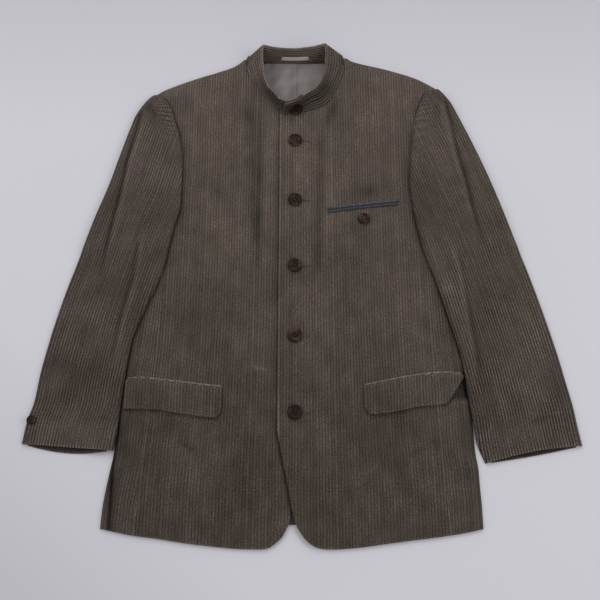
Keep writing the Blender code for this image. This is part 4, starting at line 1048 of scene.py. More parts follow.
def make_hanger_loop():
    """The tape inside the back neck, on the collar's inner face, bowed out a little between its
    sewn ends."""
    stations = np.linspace(9.53, 10.43, 61)
    shares = np.linspace(0.23, 0.47, 13)
    points, outward = collar_band(shares, stations)
    span = np.linspace(0.0, 1.0, 61)
    bow = 0.8 * np.sin(span * math.pi) ** 0.5
    off = COLLAR_CLOTH / 2 + 0.8 * RIB_CLEARANCE + GAP
    wide = np.linspace(0.0, 1.0, 13)
    edge = quarter(wide * 4.0) * quarter((1.0 - wide) * 4.0)
    face = points - outward * (off + 0.35 + 0.45 * edge[:, None, None] + bow[:, None] * 0.6)
    back = points - outward * (off + bow[:, None] * 0.5)
    uv = np.stack(np.meshgrid(span * 53.0, shares * 30.0), axis=-1)
    sewn = bell((span - 0.04) / 0.025) + bell((span - 0.96) / 0.025)
    tone = np.broadcast_to(1.0 - 0.25 * sewn, face.shape[:2])
    return shell("hanger_tape", face, back[:, ::STEPS // 2], uv, tone)


def make_flap(name, side, shape, cloth):
    """A hip pocket's flap: the panel's surface moved out, rounded off at its sides and foot."""
    sign = side["sign"]
    first = shape["out"][0]
    last = shape["out"][-1]
    count = int(round((last - first) / cloth.wale))
    wales = np.linspace(0.0, count, count * STEPS + 1)
    places = first + wales / count * (last - first)
    share = np.concatenate(((0.0, 0.012, 0.035, 0.075), np.linspace(0.13, 1.0, 11)))[:, None]
    top = curve(shape, places, "top") - 0.3
    bottom = curve(shape, places, "bottom")
    up = bottom + share * (top - bottom)
    x = sign * np.broadcast_to(places, up.shape)
    low = body_rib_top(x, up) + GAP + 0.2 + ease((top - up) / (top - bottom))
    foot = up - bottom
    side_in = np.broadcast_to(np.minimum(places - first, last - places), up.shape)
    rim = quarter(foot / 2.2) * quarter(side_in / 2.2)
    ridges = uneven_wales(cloth, wales, x, up, 40.0, 34)
    z = low + 0.9 + (FLAP_CLOTH - 0.9) * rim + ridges * (0.4 + 0.6 * rim)
    z = z + 0.3 * ripple(x, up, 34.0, 45)
    tone = body_tone(x, up) - 0.01 + 0.38 * bell((top - up - 1.4) / 1.6)
    tone = ribbed(tone, wales, 0.28 * patchy(x, up, 25))
    tone = tone + 0.30 * bell((foot - 0.9) / 1.1) + 0.20 * bell((side_in - 0.9) / 1.1)
    return shell(name, grid_of(x, up, z), grid_of(x, up, low)[:, ::STEPS],
                 grid_of(wales, up / cloth.wale), tone)


def make_jet(name, places, middle, wide, high, tone_at, streak, seed):
    """A pocket's jet: a narrow strip with a round back, uneven in width and height."""
    across = np.linspace(0.0, 1.0, 9)[:, None]
    waver = 0.35 * ripple(places, places * 0.0, 16.0, seed)
    up = middle + across * (wide + waver)
    x = np.broadcast_to(places, up.shape)
    low = body_rib_top(x, up) + 2 * GAP
    crest = np.sin(across * math.pi) ** 0.6
    z = low + 0.35 + high * crest * (0.85 + 0.15 * ripple(x, up, 9.0, seed + 1))
    # Lighter along the strip's round back, a painted highlight, and streaked along it; on the satin jets the
    # streaks are painted reflections
    tone = tone_at * (0.9 + 0.25 * crest + streak * ripple(x, up * 3.0, 9.0, seed + 2))
    return shell(name, grid_of(x, up, z), grid_of(x, up, low), grid_of(x, up) * 0.25, tone)


def make_hip_jet(name, side, shape, seed):
    """The jet above a hip flap, light along its worn fold."""
    places = np.linspace(shape["out"][0] + 1.0, shape["out"][-1] - 3.0, 241)
    middle = curve(shape, places, "top")
    return make_jet(name, side["sign"] * places, middle, JET - 1.2, 1.5, 1.85, 0.34, seed)


def make_chest_jets():
    """The chest pocket's two satin jets, the upper one painted lighter and the lower one painted in shade,
    and a dark strip between them, a painted shadow in the pocket's mouth.
    """
    (x0, y0), (x1, y1) = CHEST_SLIT
    places = np.linspace(x0, x1, 241)
    share = (places - x0) / (x1 - x0)
    middle = y0 + (y1 - y0) * share
    bow = 1.2 * np.sin(share * math.pi)
    made = []
    # Painted light on the upper jet and painted shade on the lower one, as tones on the one satin
    parts = (("chest_satin_upper", 1.0, 1.12, 91), ("chest_satin_lower", -1.0, 0.57, 95))
    for name, direction, tone, seed in parts:
        start = middle - bow * direction * 0.3 + direction * CHEST_OPEN * 0.7
        made.append(make_jet(name, places, start, direction * (CHEST_JET + 0.2), 1.6, tone, 0.42, seed))
    # A dark strip in the pocket's mouth, where there is only shade: a painted shadow
    across = np.linspace(-1.0, 1.0, 5)[:, None]
    up = middle + across * 1.6
    x = np.broadcast_to(places, up.shape)
    low = body_rib_top(x, up) + 0.4
    made.append(shell("chest_pocket_mouth", grid_of(x, up, low + 0.25), grid_of(x, up, low),
                      grid_of(x, up) * 0.25, np.full(x.shape, 0.25)))
    return made


def node_axes(name):
    """A small CAD piece's middle and its three directions, the thinnest one last, turned up."""
    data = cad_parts[name].data
    points = np.empty(len(data.vertices) * 3)
    data.vertices.foreach_get("co", points)
    points = np.unique(np.round(points.reshape(-1, 3), 6), axis=0)
    low, high = points.min(axis=0), points.max(axis=0)
    middle = (low + high) / 2
    third = np.linalg.svd(points - points.mean(axis=0))[2][2]
    third = third if third[2] > 0 else -third
    second = np.array((0.0, 1.0, 0.0)) if abs(third[1]) < 0.7 else np.array((0.0, 0.0, 1.0))
    second = second - third * (second @ third)
    second = second / np.linalg.norm(second)
    depth = np.ptp((points - middle) @ third)
    reach = np.ptp((points - middle) @ second) / 2 * 1.03
    return middle, np.stack((np.cross(second, third), second, third)), depth, reach


def ring_grid(radii, heights, turns):
    """A turned surface: a radius and a height for each ring, carried round an axis."""
    angle = np.linspace(0.0, 2 * math.pi, turns, endpoint=False)
    x = radii[:, None] * np.cos(angle)
    y = radii[:, None] * np.sin(angle)
    return np.stack((x, y, np.broadcast_to(heights[:, None], x.shape)), axis=-1)


def plain_object(name, points, faces):
    """An object in metres from points and faces, with no names for its corners."""
    mesh = bpy.data.meshes.new(name)
    mesh.from_pydata(points, [], faces)
    mesh.update()
    thing = bpy.data.objects.new(name, mesh)
    bpy.context.scene.collection.objects.link(thing)
    return thing


def wrapped_faces(rings, turns):
    """The quads of a grid that closes on itself round its second direction."""
    grid = np.arange(rings * turns).reshape(rings, turns)
    after = np.roll(grid, -1, axis=1)
    return np.stack((grid[:-1], after[:-1], after[1:], grid[1:]), axis=-1).reshape(-1, 4)


def add_capped(points, faces, grid):
    """Adds a turned or swept grid to lists of points and faces, with a cap on each end."""
    base = len(points)
    rings, turns = grid.shape[:2]
    last = base + (rings - 1) * turns
    points += [tuple(p) for p in grid.reshape(-1, 3)]
    faces += [tuple(int(i) + base for i in f) for f in wrapped_faces(rings, turns)]
    faces += [tuple(range(base, base + turns))[::-1], tuple(range(last, last + turns))]


def button_blank(radius, depth):
    """A button before it is drilled: a turned disc with a round rim and a dished middle."""
    share = np.array((0.55, 0.78, 0.92, 0.985, 1.0, 0.985, 0.93, 0.86, 0.79, 0.72, 0.64, 0.4))
    level = np.array((0.0, 0.03, 0.14, 0.32, 0.52, 0.74, 0.92, 1.0, 0.98, 0.84, 0.72, 0.68))
    points, faces = [], []
    add_capped(points, faces, ring_grid(share * radius, level * depth, BUTTON_TURNS))
    return plain_object("button_blank", points, faces)


def drill(blank, radius, depth):
    """Cuts the four holes with round cutters and returns the finished mesh."""
    points, faces = [], []
    for sx, sy in ((1, 1), (1, -1), (-1, 1), (-1, -1)):
        grid = ring_grid(np.full(2, HOLE_RADIUS * radius), np.array((-1.0, 2.0)) * depth, CUTTER_TURNS)
        add_capped(points, faces, grid + np.array((sx, sy, 0.0)) * HOLE_PLACE * radius)
    cutter = plain_object("button_cutter", points, faces)
    cut = blank.modifiers.new("holes", "BOOLEAN")
    cut.object = cutter
    cut.solver = "EXACT"
    bpy.context.view_layer.update()
    done = bpy.data.meshes.new_from_object(blank.evaluated_get(bpy.context.evaluated_depsgraph_get()))
    for thing in (blank, cutter):
        old = thing.data
        bpy.data.objects.remove(thing, do_unlink=True)
        bpy.data.meshes.remove(old)
    return done


def thread_arch(points, faces, start, stop, radius, lift):
    """Adds one bar of thread: a round tube along an arch from hole to hole."""
    share = np.linspace(0.0, 1.0, 13)
    run = np.array(stop) - np.array(start)
    line = np.array(start) + share[:, None] * run
    line[:, 2] += lift * np.sin(share * math.pi) ** 0.5
    upright = np.array((0.0, 0.0, 1.0))
    across = np.cross(run, upright)
    across = across / np.linalg.norm(across)
    angle = np.linspace(0.0, 2 * math.pi, 8, endpoint=False)[:, None]
    add_capped(points, faces, line[:, None] + radius * (np.cos(angle) * across + np.sin(angle) * upright))


def make_button(name, node, materials):
    """A four-hole horn button with its sewing thread, where the CAD piece lies."""
    middle, axes, depth, reach = node_axes(node)
    mesh = drill(button_blank(reach, depth), reach, depth)
    spread = HOLE_PLACE * reach
    level = 0.58 * depth
    points, faces = [], []
    for side in (-1.0, 1.0):
        for shift in (-0.028, 0.028):
            x = side * spread + shift * reach
            thread_arch(points, faces, (x, -spread, level), (x, spread, level),
                        THREAD_RADIUS * reach, 0.22 * depth)
    first = len(mesh.polygons)
    thread = plain_object("button_thread", points, faces)
    button = bpy.data.objects.new(name, mesh)
    bpy.context.scene.collection.objects.link(button)
    with bpy.context.temp_override(active_object=button, selected_editable_objects=[button, thread]):
        bpy.ops.object.join()
    mesh.materials.clear()
    for made in materials:
        mesh.materials.append(made)
    kinds = np.zeros(len(mesh.polygons), np.int32)
    kinds[first:] = 1
    mesh.polygons.foreach_set("material_index", kinds)
    turn = Matrix([list(row) for row in axes.T]).to_4x4()
    spin = Matrix.Rotation(0.35 * (sum(map(ord, node)) % 7 - 3), 4, "Z")
    floor = Vector(middle) - Vector(axes[2]) * depth / 2
    mesh.transform(Matrix.Translation(floor) @ turn @ spin)
    mesh.shade_smooth()
    mesh.set_sharp_from_angle(angle=math.radians(50))
    return button


def stitched_ring(name, centre, length, wide, turned, seat_at):
    """A worked buttonhole: a closed tube round a slot with a round eye, swelling at each stitch,
    on the surface that seat_at gives."""
    angle = np.linspace(0.0, 2 * math.pi, 420, endpoint=False)
    along = np.clip(1.25 * np.cos(angle), -1.0, 1.0) * length / 2
    eye = 1.0 + 0.7 * ease((-along / length - 0.36) / 0.12)
    off = np.clip(1.6 * np.sin(angle), -1.0, 1.0) * wide / 2 * eye
    x = centre[0] + (off if turned else along)
    y = centre[1] + (along if turned else off)
    line = grid_of(x, y, seat_at(x, y) + 0.5)
    run = np.roll(line, -1, axis=0) - np.roll(line, 1, axis=0)
    upright = np.array((0.0, 0.0, 1.0))
    side = np.cross(run, upright)
    side = side / np.linalg.norm(side, axis=-1, keepdims=True)
    swell = 0.42 + 0.12 * np.abs(np.sin(angle * STITCHES))
    around = np.linspace(0.0, 2 * math.pi, 8, endpoint=False)
    ring = np.cos(around)[:, None] * side[:, None] + np.sin(around)[:, None] * upright
    tube = line[:, None] + swell[:, None, None] * ring
    ids = np.arange(tube.shape[0] * tube.shape[1]).reshape(tube.shape[:2])
    after = np.roll(ids, -1, axis=0)
    quads = grid_of(ids, np.roll(ids, -1, axis=1), np.roll(after, -1, axis=1), after).reshape(-1, 4)
    uv = np.stack(np.meshgrid(around, angle * STITCHES), axis=-1).reshape(-1, 2)
    none = np.zeros((0, 3), int)
    return mesh_from(name, tube.reshape(-1, 3), quads, none, uv, np.full(ids.size, 2.3))


# Materials

def new_material(name):
    """An empty material and its shader."""
    made = bpy.data.materials.new(name)
    made.use_nodes = True
    return made, made.node_tree, made.node_tree.nodes["Principled BSDF"]


def set_inputs(node, **values):
    """Sets values on a node's sockets by name, with _ for a space."""
    for key, value in values.items():
        node.inputs[key.replace("_", " ")].default_value = value
    return node


def add(tree, kind, **values):
    """A node with values on its sockets."""
    return set_inputs(tree.nodes.new(kind), **values)


def join(tree, values, node):
    """Puts each value, a socket or a constant, on the node's socket of that name or number."""
    for key, value in values:
        if isinstance(value, bpy.types.NodeSocket):
            tree.links.new(value, node.inputs[key])
        elif value is not None:
            node.inputs[key].default_value = value
    return node


def maths(tree, operation, first, second=None, third=None, clamp=False):
    """A Math node on sockets or plain numbers, and its output."""
    node = tree.nodes.new("ShaderNodeMath")
    node.operation = operation
    node.use_clamp = clamp
    return join(tree, enumerate((first, second, third)), node).outputs[0]


def times(tree, first, second):
    """One value times another."""
    return maths(tree, "MULTIPLY", first, second)


def scaled(tree, value, gain, lift, clamp=False):
    """A value times a gain, plus a lift."""
    return maths(tree, "MULTIPLY_ADD", value, gain, lift, clamp)


def blend_colours(tree, factor, first, second, kind="MIX"):
    """A colour Mix node on sockets or plain colours, and its output."""
    node = tree.nodes.new("ShaderNodeMix")
    node.data_type = "RGBA"
    node.blend_type = kind
    return join(tree, ((0, factor), (6, first), (7, second)), node).outputs[2]


def toned(tree, colour, tone):
    """A colour times a tone, the same in its three parts."""
    grey = tree.nodes.new("ShaderNodeCombineColor")
    join(tree, enumerate((tone, tone, tone)), grey)
    return blend_colours(tree, 1.0, colour, grey.outputs[0], "MULTIPLY")


def noise(tree, vector, scale, detail, rough):
    """A Noise texture's value on the given coordinates."""
    node = add(tree, "ShaderNodeTexNoise", Scale=scale, Detail=detail, Roughness=rough)
    return join(tree, (("Vector", vector),), node).outputs["Fac"]


def streaks(tree, vector, across, along, detail, rough):
    """A Noise texture with its own scale across and along."""
    node = add(tree, "ShaderNodeMapping", Scale=(across, along, 1.0))
    return noise(tree, join(tree, (("Vector", vector),), node).outputs["Vector"], 1.0, detail, rough)


def object_place(tree):
    """The place on the object."""
    return tree.nodes.new("ShaderNodeTexCoord").outputs["Object"]


def parts_of(tree, vector):
    """The three parts of a vector."""
    return join(tree, ((0, vector),), tree.nodes.new("ShaderNodeSeparateXYZ")).outputs


def piece_tone(tree):
    """The tone that a piece's mesh holds: painted light and shade as well as its own uneven colour."""
    node = tree.nodes.new("ShaderNodeAttribute")
    node.attribute_name = "tone"
    return node.outputs["Fac"]


def add_relief(tree, shader, height, strength, distance):
    """Roughens a shader's surface by a height."""
    relief = add(tree, "ShaderNodeBump", Strength=strength, Distance=distance)
    tree.links.new(height, relief.inputs["Height"])
    tree.links.new(relief.outputs["Normal"], shader.inputs["Normal"])


def pile_group():
    """The corduroy's pile: a colour that is dark in the grooves, partly the ground weave's own colour and
    partly painted shade, uneven from wale to wale and along each one, worn in patches and flecked, and a
    height for its nap."""
    tree = bpy.data.node_groups.new("corduroy_pile", "ShaderNodeTree")
    for socket, way, kind in (
            ("Pile", "INPUT", "Color"), ("Groove", "INPUT", "Color"), ("Worn", "INPUT", "Color"),
            ("Tone", "INPUT", "Float"), ("Color", "OUTPUT", "Color"), ("Height", "OUTPUT", "Float")):
        tree.interface.new_socket(socket, in_out=way, socket_type="NodeSocket" + kind)
    start = tree.nodes.new("NodeGroupInput").outputs
    end = tree.nodes.new("NodeGroupOutput")
    wales = tree.nodes.new("ShaderNodeUVMap")
    wales.uv_map = "wales"
    wales = wales.outputs["UV"]
    place = object_place(tree)

    # Across a wale: a round crest, its line wandering a little, clearer in some patches
    wander = scaled(tree, streaks(tree, wales, 0.30, 0.12, 2.0, 0.5), 0.9, -0.45)
    across = maths(tree, "ADD", parts_of(tree, wales)["X"], wander)
    lean = maths(tree, "ABSOLUTE", scaled(tree, maths(tree, "FRACT", across), 2.0, -1.0))
    crest = maths(tree, "SUBTRACT", 1.0, maths(tree, "POWER", lean, 2.6))
    clear = scaled(tree, noise(tree, place, 18.0, 2.0, 0.5), 3.0, -1.0, clamp=True)
    shade = scaled(tree, clear, 0.65, 0.12)
    crest = scaled(tree, maths(tree, "SUBTRACT", crest, 0.72), shade, 0.72)

    # The level: each wale's own, light dashes where the wales are clear, then noises and the tone
    each = tree.nodes.new("ShaderNodeTexWhiteNoise")
    each.noise_dimensions = "1D"
    tree.links.new(maths(tree, "FLOOR", across), each.inputs["W"])
    dash = scaled(tree, streaks(tree, wales, 2.2, 0.45, 2.0, 0.5), 6.0, -3.3, clamp=True)
    dash = times(tree, dash, scaled(tree, clear, 0.34, 0.08))
    level = times(tree, scaled(tree, each.outputs["Value"], 0.20, 0.90), maths(tree, "ADD", dash, 1.0))
    nap = streaks(tree, wales, 5.0, 2.2, 3.0, 0.65)
    patches = noise(tree, place, 7.5, 3.0, 0.55)
    for value, gain, lift in (
            (nap, 0.70, 0.65),
            (streaks(tree, wales, 2.6, 2.0, 1.0, 0.5), 2.4, -0.20),
            (streaks(tree, wales, 0.9, 0.16, 2.0, 0.6), 0.60, 0.70),
            (patches, 0.70, 0.65),
            (noise(tree, place, 27.0, 3.0, 0.6), 0.36, 0.82)):
        level = times(tree, level, scaled(tree, value, gain, lift))
    level = times(tree, level, start["Tone"])

    # Worn flecks on the crests
    fleck = scaled(tree, streaks(tree, wales, 1.7, 0.8, 4.0, 0.75), 7.0, -4.1, clamp=True)
    fleck = times(tree, fleck, scaled(tree, patches, 1.2, -0.25, clamp=True))
    worn = times(tree, times(tree, fleck, crest), 0.55)
    colour = blend_colours(tree, crest, start["Groove"], start["Pile"])
    colour = blend_colours(tree, worn, colour, start["Worn"])
    tree.links.new(toned(tree, colour, level), end.inputs["Color"])
    tree.links.new(nap, end.inputs["Height"])
    return tree


def corduroy(name, cloth):
    """The corduroy: soft and matt, with the sheen of its nap."""
    made, tree, shader = new_material(name)
    group = tree.nodes.new("ShaderNodeGroup")
    group.node_tree = bpy.data.node_groups.get("corduroy_pile") or pile_group()
    join(tree, (("Pile", (*cloth.pile, 1.0)), ("Groove", (*cloth.groove, 1.0)),
                ("Worn", (*cloth.worn, 1.0)), ("Tone", piece_tone(tree))), group)
    tree.links.new(group.outputs["Color"], shader.inputs["Base Color"])
    add_relief(tree, shader, group.outputs["Height"], cloth.nap, 0.0006)
    set_inputs(shader, Roughness=0.92, Specular_IOR_Level=0.18, Sheen_Weight=0.16,
               Sheen_Roughness=0.45, Sheen_Tint=(0.75, 0.68, 0.62, 1.0))
    return made


def woven(name, colour, dark, count, rough, relief, sheen, specular):
    """A plain or satin weave: crossing threads at the given count to the metre, with soft
    changes towards a darker share of its colour and a tone from the piece."""
    made, tree, shader = new_material(name)
    place = object_place(tree)
    parts = parts_of(tree, place)
    warp = maths(tree, "SINE", times(tree, parts["X"], count))
    weft = maths(tree, "SINE", times(tree, parts["Y"], count * 0.7))
    weave = scaled(tree, times(tree, warp, weft), 0.5, 0.5)
    cloud = times(tree, noise(tree, place, 30.0, 4.0, 0.6), 0.75)
    mixed = blend_colours(tree, scaled(tree, weave, 0.25, cloud),
                          (*(dark * c for c in colour), 1.0), (*colour, 1.0))
    tree.links.new(toned(tree, mixed, piece_tone(tree)), shader.inputs["Base Color"])
    add_relief(tree, shader, weave, relief, 0.0003)
    set_inputs(shader, Roughness=rough, Specular_IOR_Level=specular, Sheen_Weight=sheen)
    return made


def horn(name, dark, light):
    """Polished horn: dark brown with clouded and streaked lighter marbling."""
    made, tree, shader = new_material(name)
    place = object_place(tree)
    streak = streaks(tree, place, 260.0, 120.0, 4.0, 0.6)
    marble = times(tree, scaled(tree, noise(tree, place, 95.0, 3.0, 0.6), 5.0, -2.45, clamp=True),
                   scaled(tree, streak, 1.8, -0.3, clamp=True))
    tree.links.new(blend_colours(tree, marble, (*dark, 1.0), (*light, 1.0)), shader.inputs["Base Color"])
    tree.links.new(scaled(tree, streak, 0.2, 0.34), shader.inputs["Roughness"])
    set_inputs(shader, Specular_IOR_Level=0.13)
    return made


def floor_material(name, colour):
    """The plain pale floor, with the faintest mottling and painted shade that darkens it a little at two
    corners.
    """
    made, tree, shader = new_material(name)
    place = object_place(tree)
    parts = parts_of(tree, place)
    pale, dark = ((*(share * c for c in colour), 1.0) for share in (0.97, 0.3))
    mixed = blend_colours(tree, noise(tree, place, 3.0, 4.0, 0.6), pale, (*colour, 1.0))
    far = scaled(tree, parts["Y"], 3.2, -0.85, clamp=True)
    near = scaled(tree, maths(tree, "ADD", parts["X"], parts["Y"]), -3.0, -1.6, clamp=True)
    shade = times(tree, maths(tree, "MAXIMUM", far, near), 0.21)
    tree.links.new(blend_colours(tree, shade, mixed, dark), shader.inputs["Base Color"])
    set_inputs(shader, Roughness=0.85, Specular_IOR_Level=0.1)
    return made


# Each weave's colour in the settings, its dark share, threads to the metre, roughness, relief,
# sheen and specular level
WEAVES = {
    "neck_lining_grey": ("lining", 0.8, 9000.0, 0.55, 0.25, 0.1, 0.35),
    "pocket_satin": ("satin", 0.45, 9000.0, 0.45, 0.2, 0.05, 0.35),
    "loop_tape": ("tape", 0.75, 6500.0, 0.8, 0.6, 0.1, 0.2),
    "sewing_thread": ("thread", 0.5, 6500.0, 0.8, 0.5, 0.1, 0.2),
}


def material_of(kind):
    """One of the jacket's materials, made once from the settings."""
    scene = bpy.context.scene
    found = bpy.data.materials.get(kind)
    if found:
        return found
    if kind in WEAVES:
        colour, *rest = WEAVES[kind]
        return woven(kind, getattr(scene.jacket_trim, colour), *rest)
    if kind == "horn_brown":
        return horn(kind, scene.jacket_trim.horn_dark, scene.jacket_trim.horn_light)
    return corduroy(kind, scene.jacket_cloth)


def settle(thing, kind, slot, nodes=(), flat=None, area=None, rests_on=()):
    """Gives a piece its material if it has none and its body, and hides the CAD nodes it stands for.  The
    slot, flat size, area and what it rests on are not used."""
    if not thing.data.materials:
        thing.data.materials.append(material_of(kind))
    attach(thing, "root")
    if nodes:
        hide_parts(*nodes)
    return thing


def settle_cloth(thing, *stated):
    """Settles a piece of corduroy and hides its nodes; the flat size, area and what it rests on are not
    used.
    """
    return settle(thing, "corduroy_brown", "corduroy", *stated)


# Settings

COLOUR = {"subtype": "COLOR", "size": 3, "min": 0.0, "max": 1.0}


class JacketCloth(bpy.types.PropertyGroup):
    """Sizes and colours of the corduroy."""

    wale: bpy.props.FloatProperty(
        name="Wale", description="Width of one rib, in millimetres", default=4.4, min=2.0, max=8.0)
    ridge: bpy.props.FloatProperty(
        name="Ridge", description="Height of a rib over its grooves, in millimetres", default=1.0,
        min=0.2, max=2.0)
    nap: bpy.props.FloatProperty(
        name="Nap", description="Strength of the pile's fine relief", default=0.5, min=0.0, max=1.0)
    pile: bpy.props.FloatVectorProperty(
        name="Pile", description="Colour of the ribs",
        default=(0.086, 0.067, 0.0545), **COLOUR)
    # The groove colour is partly the ground weave's own and partly painted shade in the grooves
    groove: bpy.props.FloatVectorProperty(
        name="Groove", description="Colour between the ribs",
        default=(0.045, 0.0325, 0.0248), **COLOUR)
    worn: bpy.props.FloatVectorProperty(
        name="Worn", description="Colour of worn nap",
        default=(0.170, 0.141, 0.120), **COLOUR)


class JacketTrim(bpy.types.PropertyGroup):
    """Colours of the lining, tape, satin, thread and buttons."""

    lining: bpy.props.FloatVectorProperty(
        name="Lining", description="Colour of the neck lining",
        default=(0.205, 0.181, 0.172), **COLOUR)
    tape: bpy.props.FloatVectorProperty(
        name="Tape", description="Colour of the hanger loop",
        default=(0.56, 0.52, 0.45), **COLOUR)
    satin: bpy.props.FloatVectorProperty(
        name="Satin", description="Colour of the chest pocket's jets",
        default=(0.050, 0.056, 0.068), **COLOUR)
    thread: bpy.props.FloatVectorProperty(
        name="Thread", description="Colour of the sewing thread",
        default=(0.050, 0.038, 0.030), **COLOUR)
    horn_dark: bpy.props.FloatVectorProperty(
        name="Horn", description="Ground colour of the buttons",
        default=(0.012, 0.007, 0.005), **COLOUR)
    horn_light: bpy.props.FloatVectorProperty(
        name="Marbling", description="Colour of the buttons' marbling",
        default=(0.150, 0.062, 0.024), **COLOUR)


class JacketStage(bpy.types.PropertyGroup):
    """The floor, light and camera."""

    floor: bpy.props.FloatVectorProperty(
        name="Floor", description="Colour of the floor",
        default=(0.63, 0.62, 0.665), **COLOUR)
    sky: bpy.props.FloatProperty(
        name="Sky", description="Strength of the even light", default=0.52, min=0.0, max=5.0)
    key: bpy.props.FloatProperty(
        name="Soft boxes", description="Power of each soft box", default=14.5, unit="POWER", min=0.0)
    focal: bpy.props.FloatProperty(
        name="Focal length", description="The camera's lens on a 36 mm sensor", default=51.0, min=20.0)
    tilt: bpy.props.FloatProperty(
        name="Tilt", description="The camera's lean from straight down", subtype="ANGLE",
        default=math.radians(18.647))
    distance: bpy.props.FloatProperty(
        name="Distance", description="From the camera to the plan's middle", default=1.3345,
        unit="LENGTH", min=0.3)


# Operators

class JacketOperator:
    """What the jacket's operators share."""

    bl_options = {"REGISTER", "UNDO"}


class JACKET_OT_body(JacketOperator, bpy.types.Operator):
    """Make the back, the fronts and the side panels"""

    bl_idname = "jacket.body"
    bl_label = "Body"

    def execute(self, context):
        cloth = context.scene.jacket_cloth
        settle_cloth(make_back(cloth), ["back_panel"], (0.56, 0.80), 0.372)
        settle_cloth(make_right_front(cloth), ["right_front"], (0.27, 0.81), 0.20, ["back_cloth"])
        settle_cloth(make_left_front(cloth), ["left_front"], (0.27, 0.82), 0.20,
                     ["back_cloth", "right_front_cloth"])
        for side in (LEFT, RIGHT):
            word = side["word"]
            settle_cloth(make_side_panel(word + "_side_cloth", side, cloth), [word + "_side_panel"],
                         (0.07, 0.45), 0.024, ["back_cloth"])
        return {"FINISHED"}


class JACKET_OT_sleeves(JacketOperator, bpy.types.Operator):
    """Make the top and under sleeves"""

    bl_idname = "jacket.sleeves"
    bl_label = "Sleeves"

    def execute(self, context):
        cloth = context.scene.jacket_cloth
        for side in (LEFT, RIGHT):
            word = side["word"]
            under = settle_cloth(
                make_sleeve_under(word + "_under_cloth", side, cloth), [word + "_sleeve_under"],
                (0.15, 0.55), 0.066, [word + "_side_cloth"])
            settle_cloth(
                make_sleeve_top(word + "_sleeve_cloth", side, cloth), [word + "_sleeve_top"],
                (0.165, 0.66), 0.084, [under, word + "_front_cloth"])
        return {"FINISHED"}


class JACKET_OT_collar(JacketOperator, bpy.types.Operator):
    """Make the stand collar, the neck lining and the hanger loop"""

    bl_idname = "jacket.collar"
    bl_label = "Collar"

    def execute(self, context):
        cloth = context.scene.jacket_cloth
        settle(make_lining(), "neck_lining_grey", "lining", ["back_lining"], (0.14, 0.10), None,
               ["back_cloth"])
        settle_cloth(make_collar(cloth), ["collar"], (0.46, 0.036), None,
                     ["left_front_cloth", "right_front_cloth"])
        settle(make_hanger_loop(), "loop_tape", "tape", ["hanger_loop"], (0.050, 0.0101), None,
               ["collar_cloth"])
        return {"FINISHED"}


class JACKET_OT_pockets(JacketOperator, bpy.types.Operator):
    """Make the hip pockets' flaps and jets and the chest pocket"""

    bl_idname = "jacket.pockets"
    bl_label = "Pockets"

    def execute(self, context):
        cloth = context.scene.jacket_cloth
        for side, seed in ((LEFT, 101), (RIGHT, 106)):
            word = side["word"]
            carried = [word + "_front_cloth", word + "_side_cloth"]
            settle_cloth(make_flap(word + "_flap_cloth", side, FLAPS[word], cloth),
                         [word + "_hip_flap"], (0.155, 0.056), 0.0066, carried)
            settle_cloth(make_hip_jet(word + "_jet_cloth", side, FLAPS[word], seed),
                         [word + "_hip_jet"], (0.150, 0.0101), 0.00065, carried)
        upper, lower, mouth = make_chest_jets()
        for jet, node in ((upper, "chest_jet_upper"), (lower, "chest_jet_lower")):
            settle(jet, "pocket_satin", "satin", [node], (0.118, 0.0101), 0.00065, ["left_front_cloth"])
        settle(mouth, "pocket_satin", "satin", (), (0.118, 0.0101), 0.0004, ["left_front_cloth"])
        return {"FINISHED"}


class JACKET_OT_buttons(JacketOperator, bpy.types.Operator):
    """Make the buttons and their worked buttonholes"""

    bl_idname = "jacket.buttons"
    bl_label = "Buttons"

    def execute(self, context):
        front = ["front_button_%d" % n for n in range(1, 6)]
        materials = [material_of(kind) for kind in ("horn_brown", "sewing_thread")]
        for node in front + ["chest_button", "collar_button", "cuff_button"]:
            settle(make_button(node + "_horn", node, materials), "horn_brown", "horn", [node])

        def on_left(x, y):
            return left_front_top(x, y) + RIB_CLEARANCE

        rings = []
        for node in front:
            middle = (BUTTON_LINE + 9.5, plan_middle(node)[1] - 0.5)
            rings.append(stitched_ring(node.replace("button", "buttonhole"), middle, 25.0, 1.8, False,
                                       on_left))
        middle = plan_middle("chest_button") - (0.0, 3.0, 0.0)
        rings.append(stitched_ring("chest_buttonhole", middle, 24.0, 2.2, True, on_left))
        for ring in rings:
            settle(ring, "sewing_thread", "corduroy")
        return {"FINISHED"}


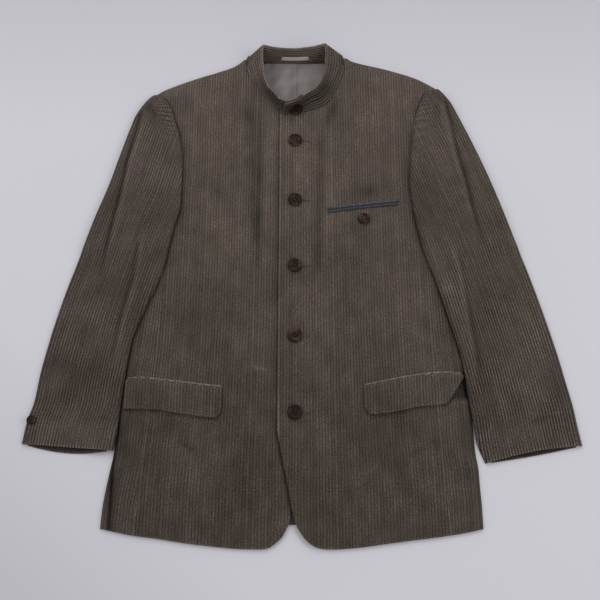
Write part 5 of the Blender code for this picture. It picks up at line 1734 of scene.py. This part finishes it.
class JACKET_OT_stage(JacketOperator, bpy.types.Operator):
    """Make the floor, the soft light and the camera"""

    bl_idname = "jacket.stage"
    bl_label = "Stage"

    def execute(self, context):
        scene = context.scene
        stage = scene.jacket_stage
        half = 6.0
        signs = ((-1.0, -1.0), (1.0, -1.0), (1.0, 1.0), (-1.0, 1.0))
        corners = [(half * a, half * b, -0.0005) for a, b in signs]
        floor = plain_object("floor", corners, [(0, 1, 2, 3)])
        floor.data.materials.append(floor_material("floor_pale", stage.floor))
        world = bpy.data.worlds.new("studio")
        world.use_nodes = True
        sky = world.node_tree.nodes["Background"]
        sky.inputs["Color"].default_value = (0.97, 0.98, 1.0, 1.0)
        sky.inputs["Strength"].default_value = stage.sky
        scene.world = world
        for name, place, share in (
            ("box_left", (-1.7, 0.2, 1.9), 1.0),
            ("box_right", (1.8, -0.5, 1.8), 1.15),
            ("box_top", (0.1, 1.3, 2.0), 0.7),
        ):
            light = bpy.data.lights.new(name, "AREA")
            light.shape = "SQUARE"
            light.size = 1.3
            light.energy = stage.key * share
            lamp = bpy.data.objects.new(name, light)
            lamp.location = place
            lamp.rotation_euler = (Vector((0, 0, 0)) - Vector(place)).to_track_quat("-Z", "Y").to_euler()
            scene.collection.objects.link(lamp)
        camera = bpy.data.objects.new("camera", bpy.data.cameras.new("camera"))
        camera.data.lens = stage.focal
        camera.data.sensor_width = 36.0
        middle = Vector(to_frame(np.zeros(3)))
        back = Vector((0.0, -math.sin(stage.tilt), math.cos(stage.tilt)))
        camera.location = middle + back * stage.distance
        camera.rotation_euler = (stage.tilt, 0.0, 0.0)
        scene.collection.objects.link(camera)
        scene.camera = camera
        scene.view_settings.view_transform = "Standard"
        return {"FINISHED"}


STEPS_IN_ORDER = (
    JACKET_OT_stage, JACKET_OT_body, JACKET_OT_sleeves, JACKET_OT_collar, JACKET_OT_pockets,
    JACKET_OT_buttons)


class JACKET_PT_panel(bpy.types.Panel):
    """The jacket's steps and settings"""

    bl_label = "Jacket"
    bl_idname = "JACKET_PT_panel"
    bl_space_type = "VIEW_3D"
    bl_region_type = "UI"
    bl_category = "Jacket"

    def draw(self, context):
        for settings in (context.scene.jacket_cloth, context.scene.jacket_trim, context.scene.jacket_stage):
            for name in settings.__annotations__:
                self.layout.prop(settings, name)
        for step in STEPS_IN_ORDER:
            self.layout.operator(step.bl_idname)


CLASSES = (JacketCloth, JacketTrim, JacketStage, *STEPS_IN_ORDER, JACKET_PT_panel)


def register():
    for kind in CLASSES:
        bpy.utils.register_class(kind)
    bpy.types.Scene.jacket_cloth = bpy.props.PointerProperty(type=JacketCloth)
    bpy.types.Scene.jacket_trim = bpy.props.PointerProperty(type=JacketTrim)
    bpy.types.Scene.jacket_stage = bpy.props.PointerProperty(type=JacketStage)


def unregister():
    del bpy.types.Scene.jacket_stage
    del bpy.types.Scene.jacket_trim
    del bpy.types.Scene.jacket_cloth
    for kind in reversed(CLASSES):
        bpy.utils.unregister_class(kind)


def main():
    register()
    for step in STEPS_IN_ORDER:
        group, name = step.bl_idname.split(".")
        getattr(getattr(bpy.ops, group), name)()


if __name__ == "__main__":
    main()
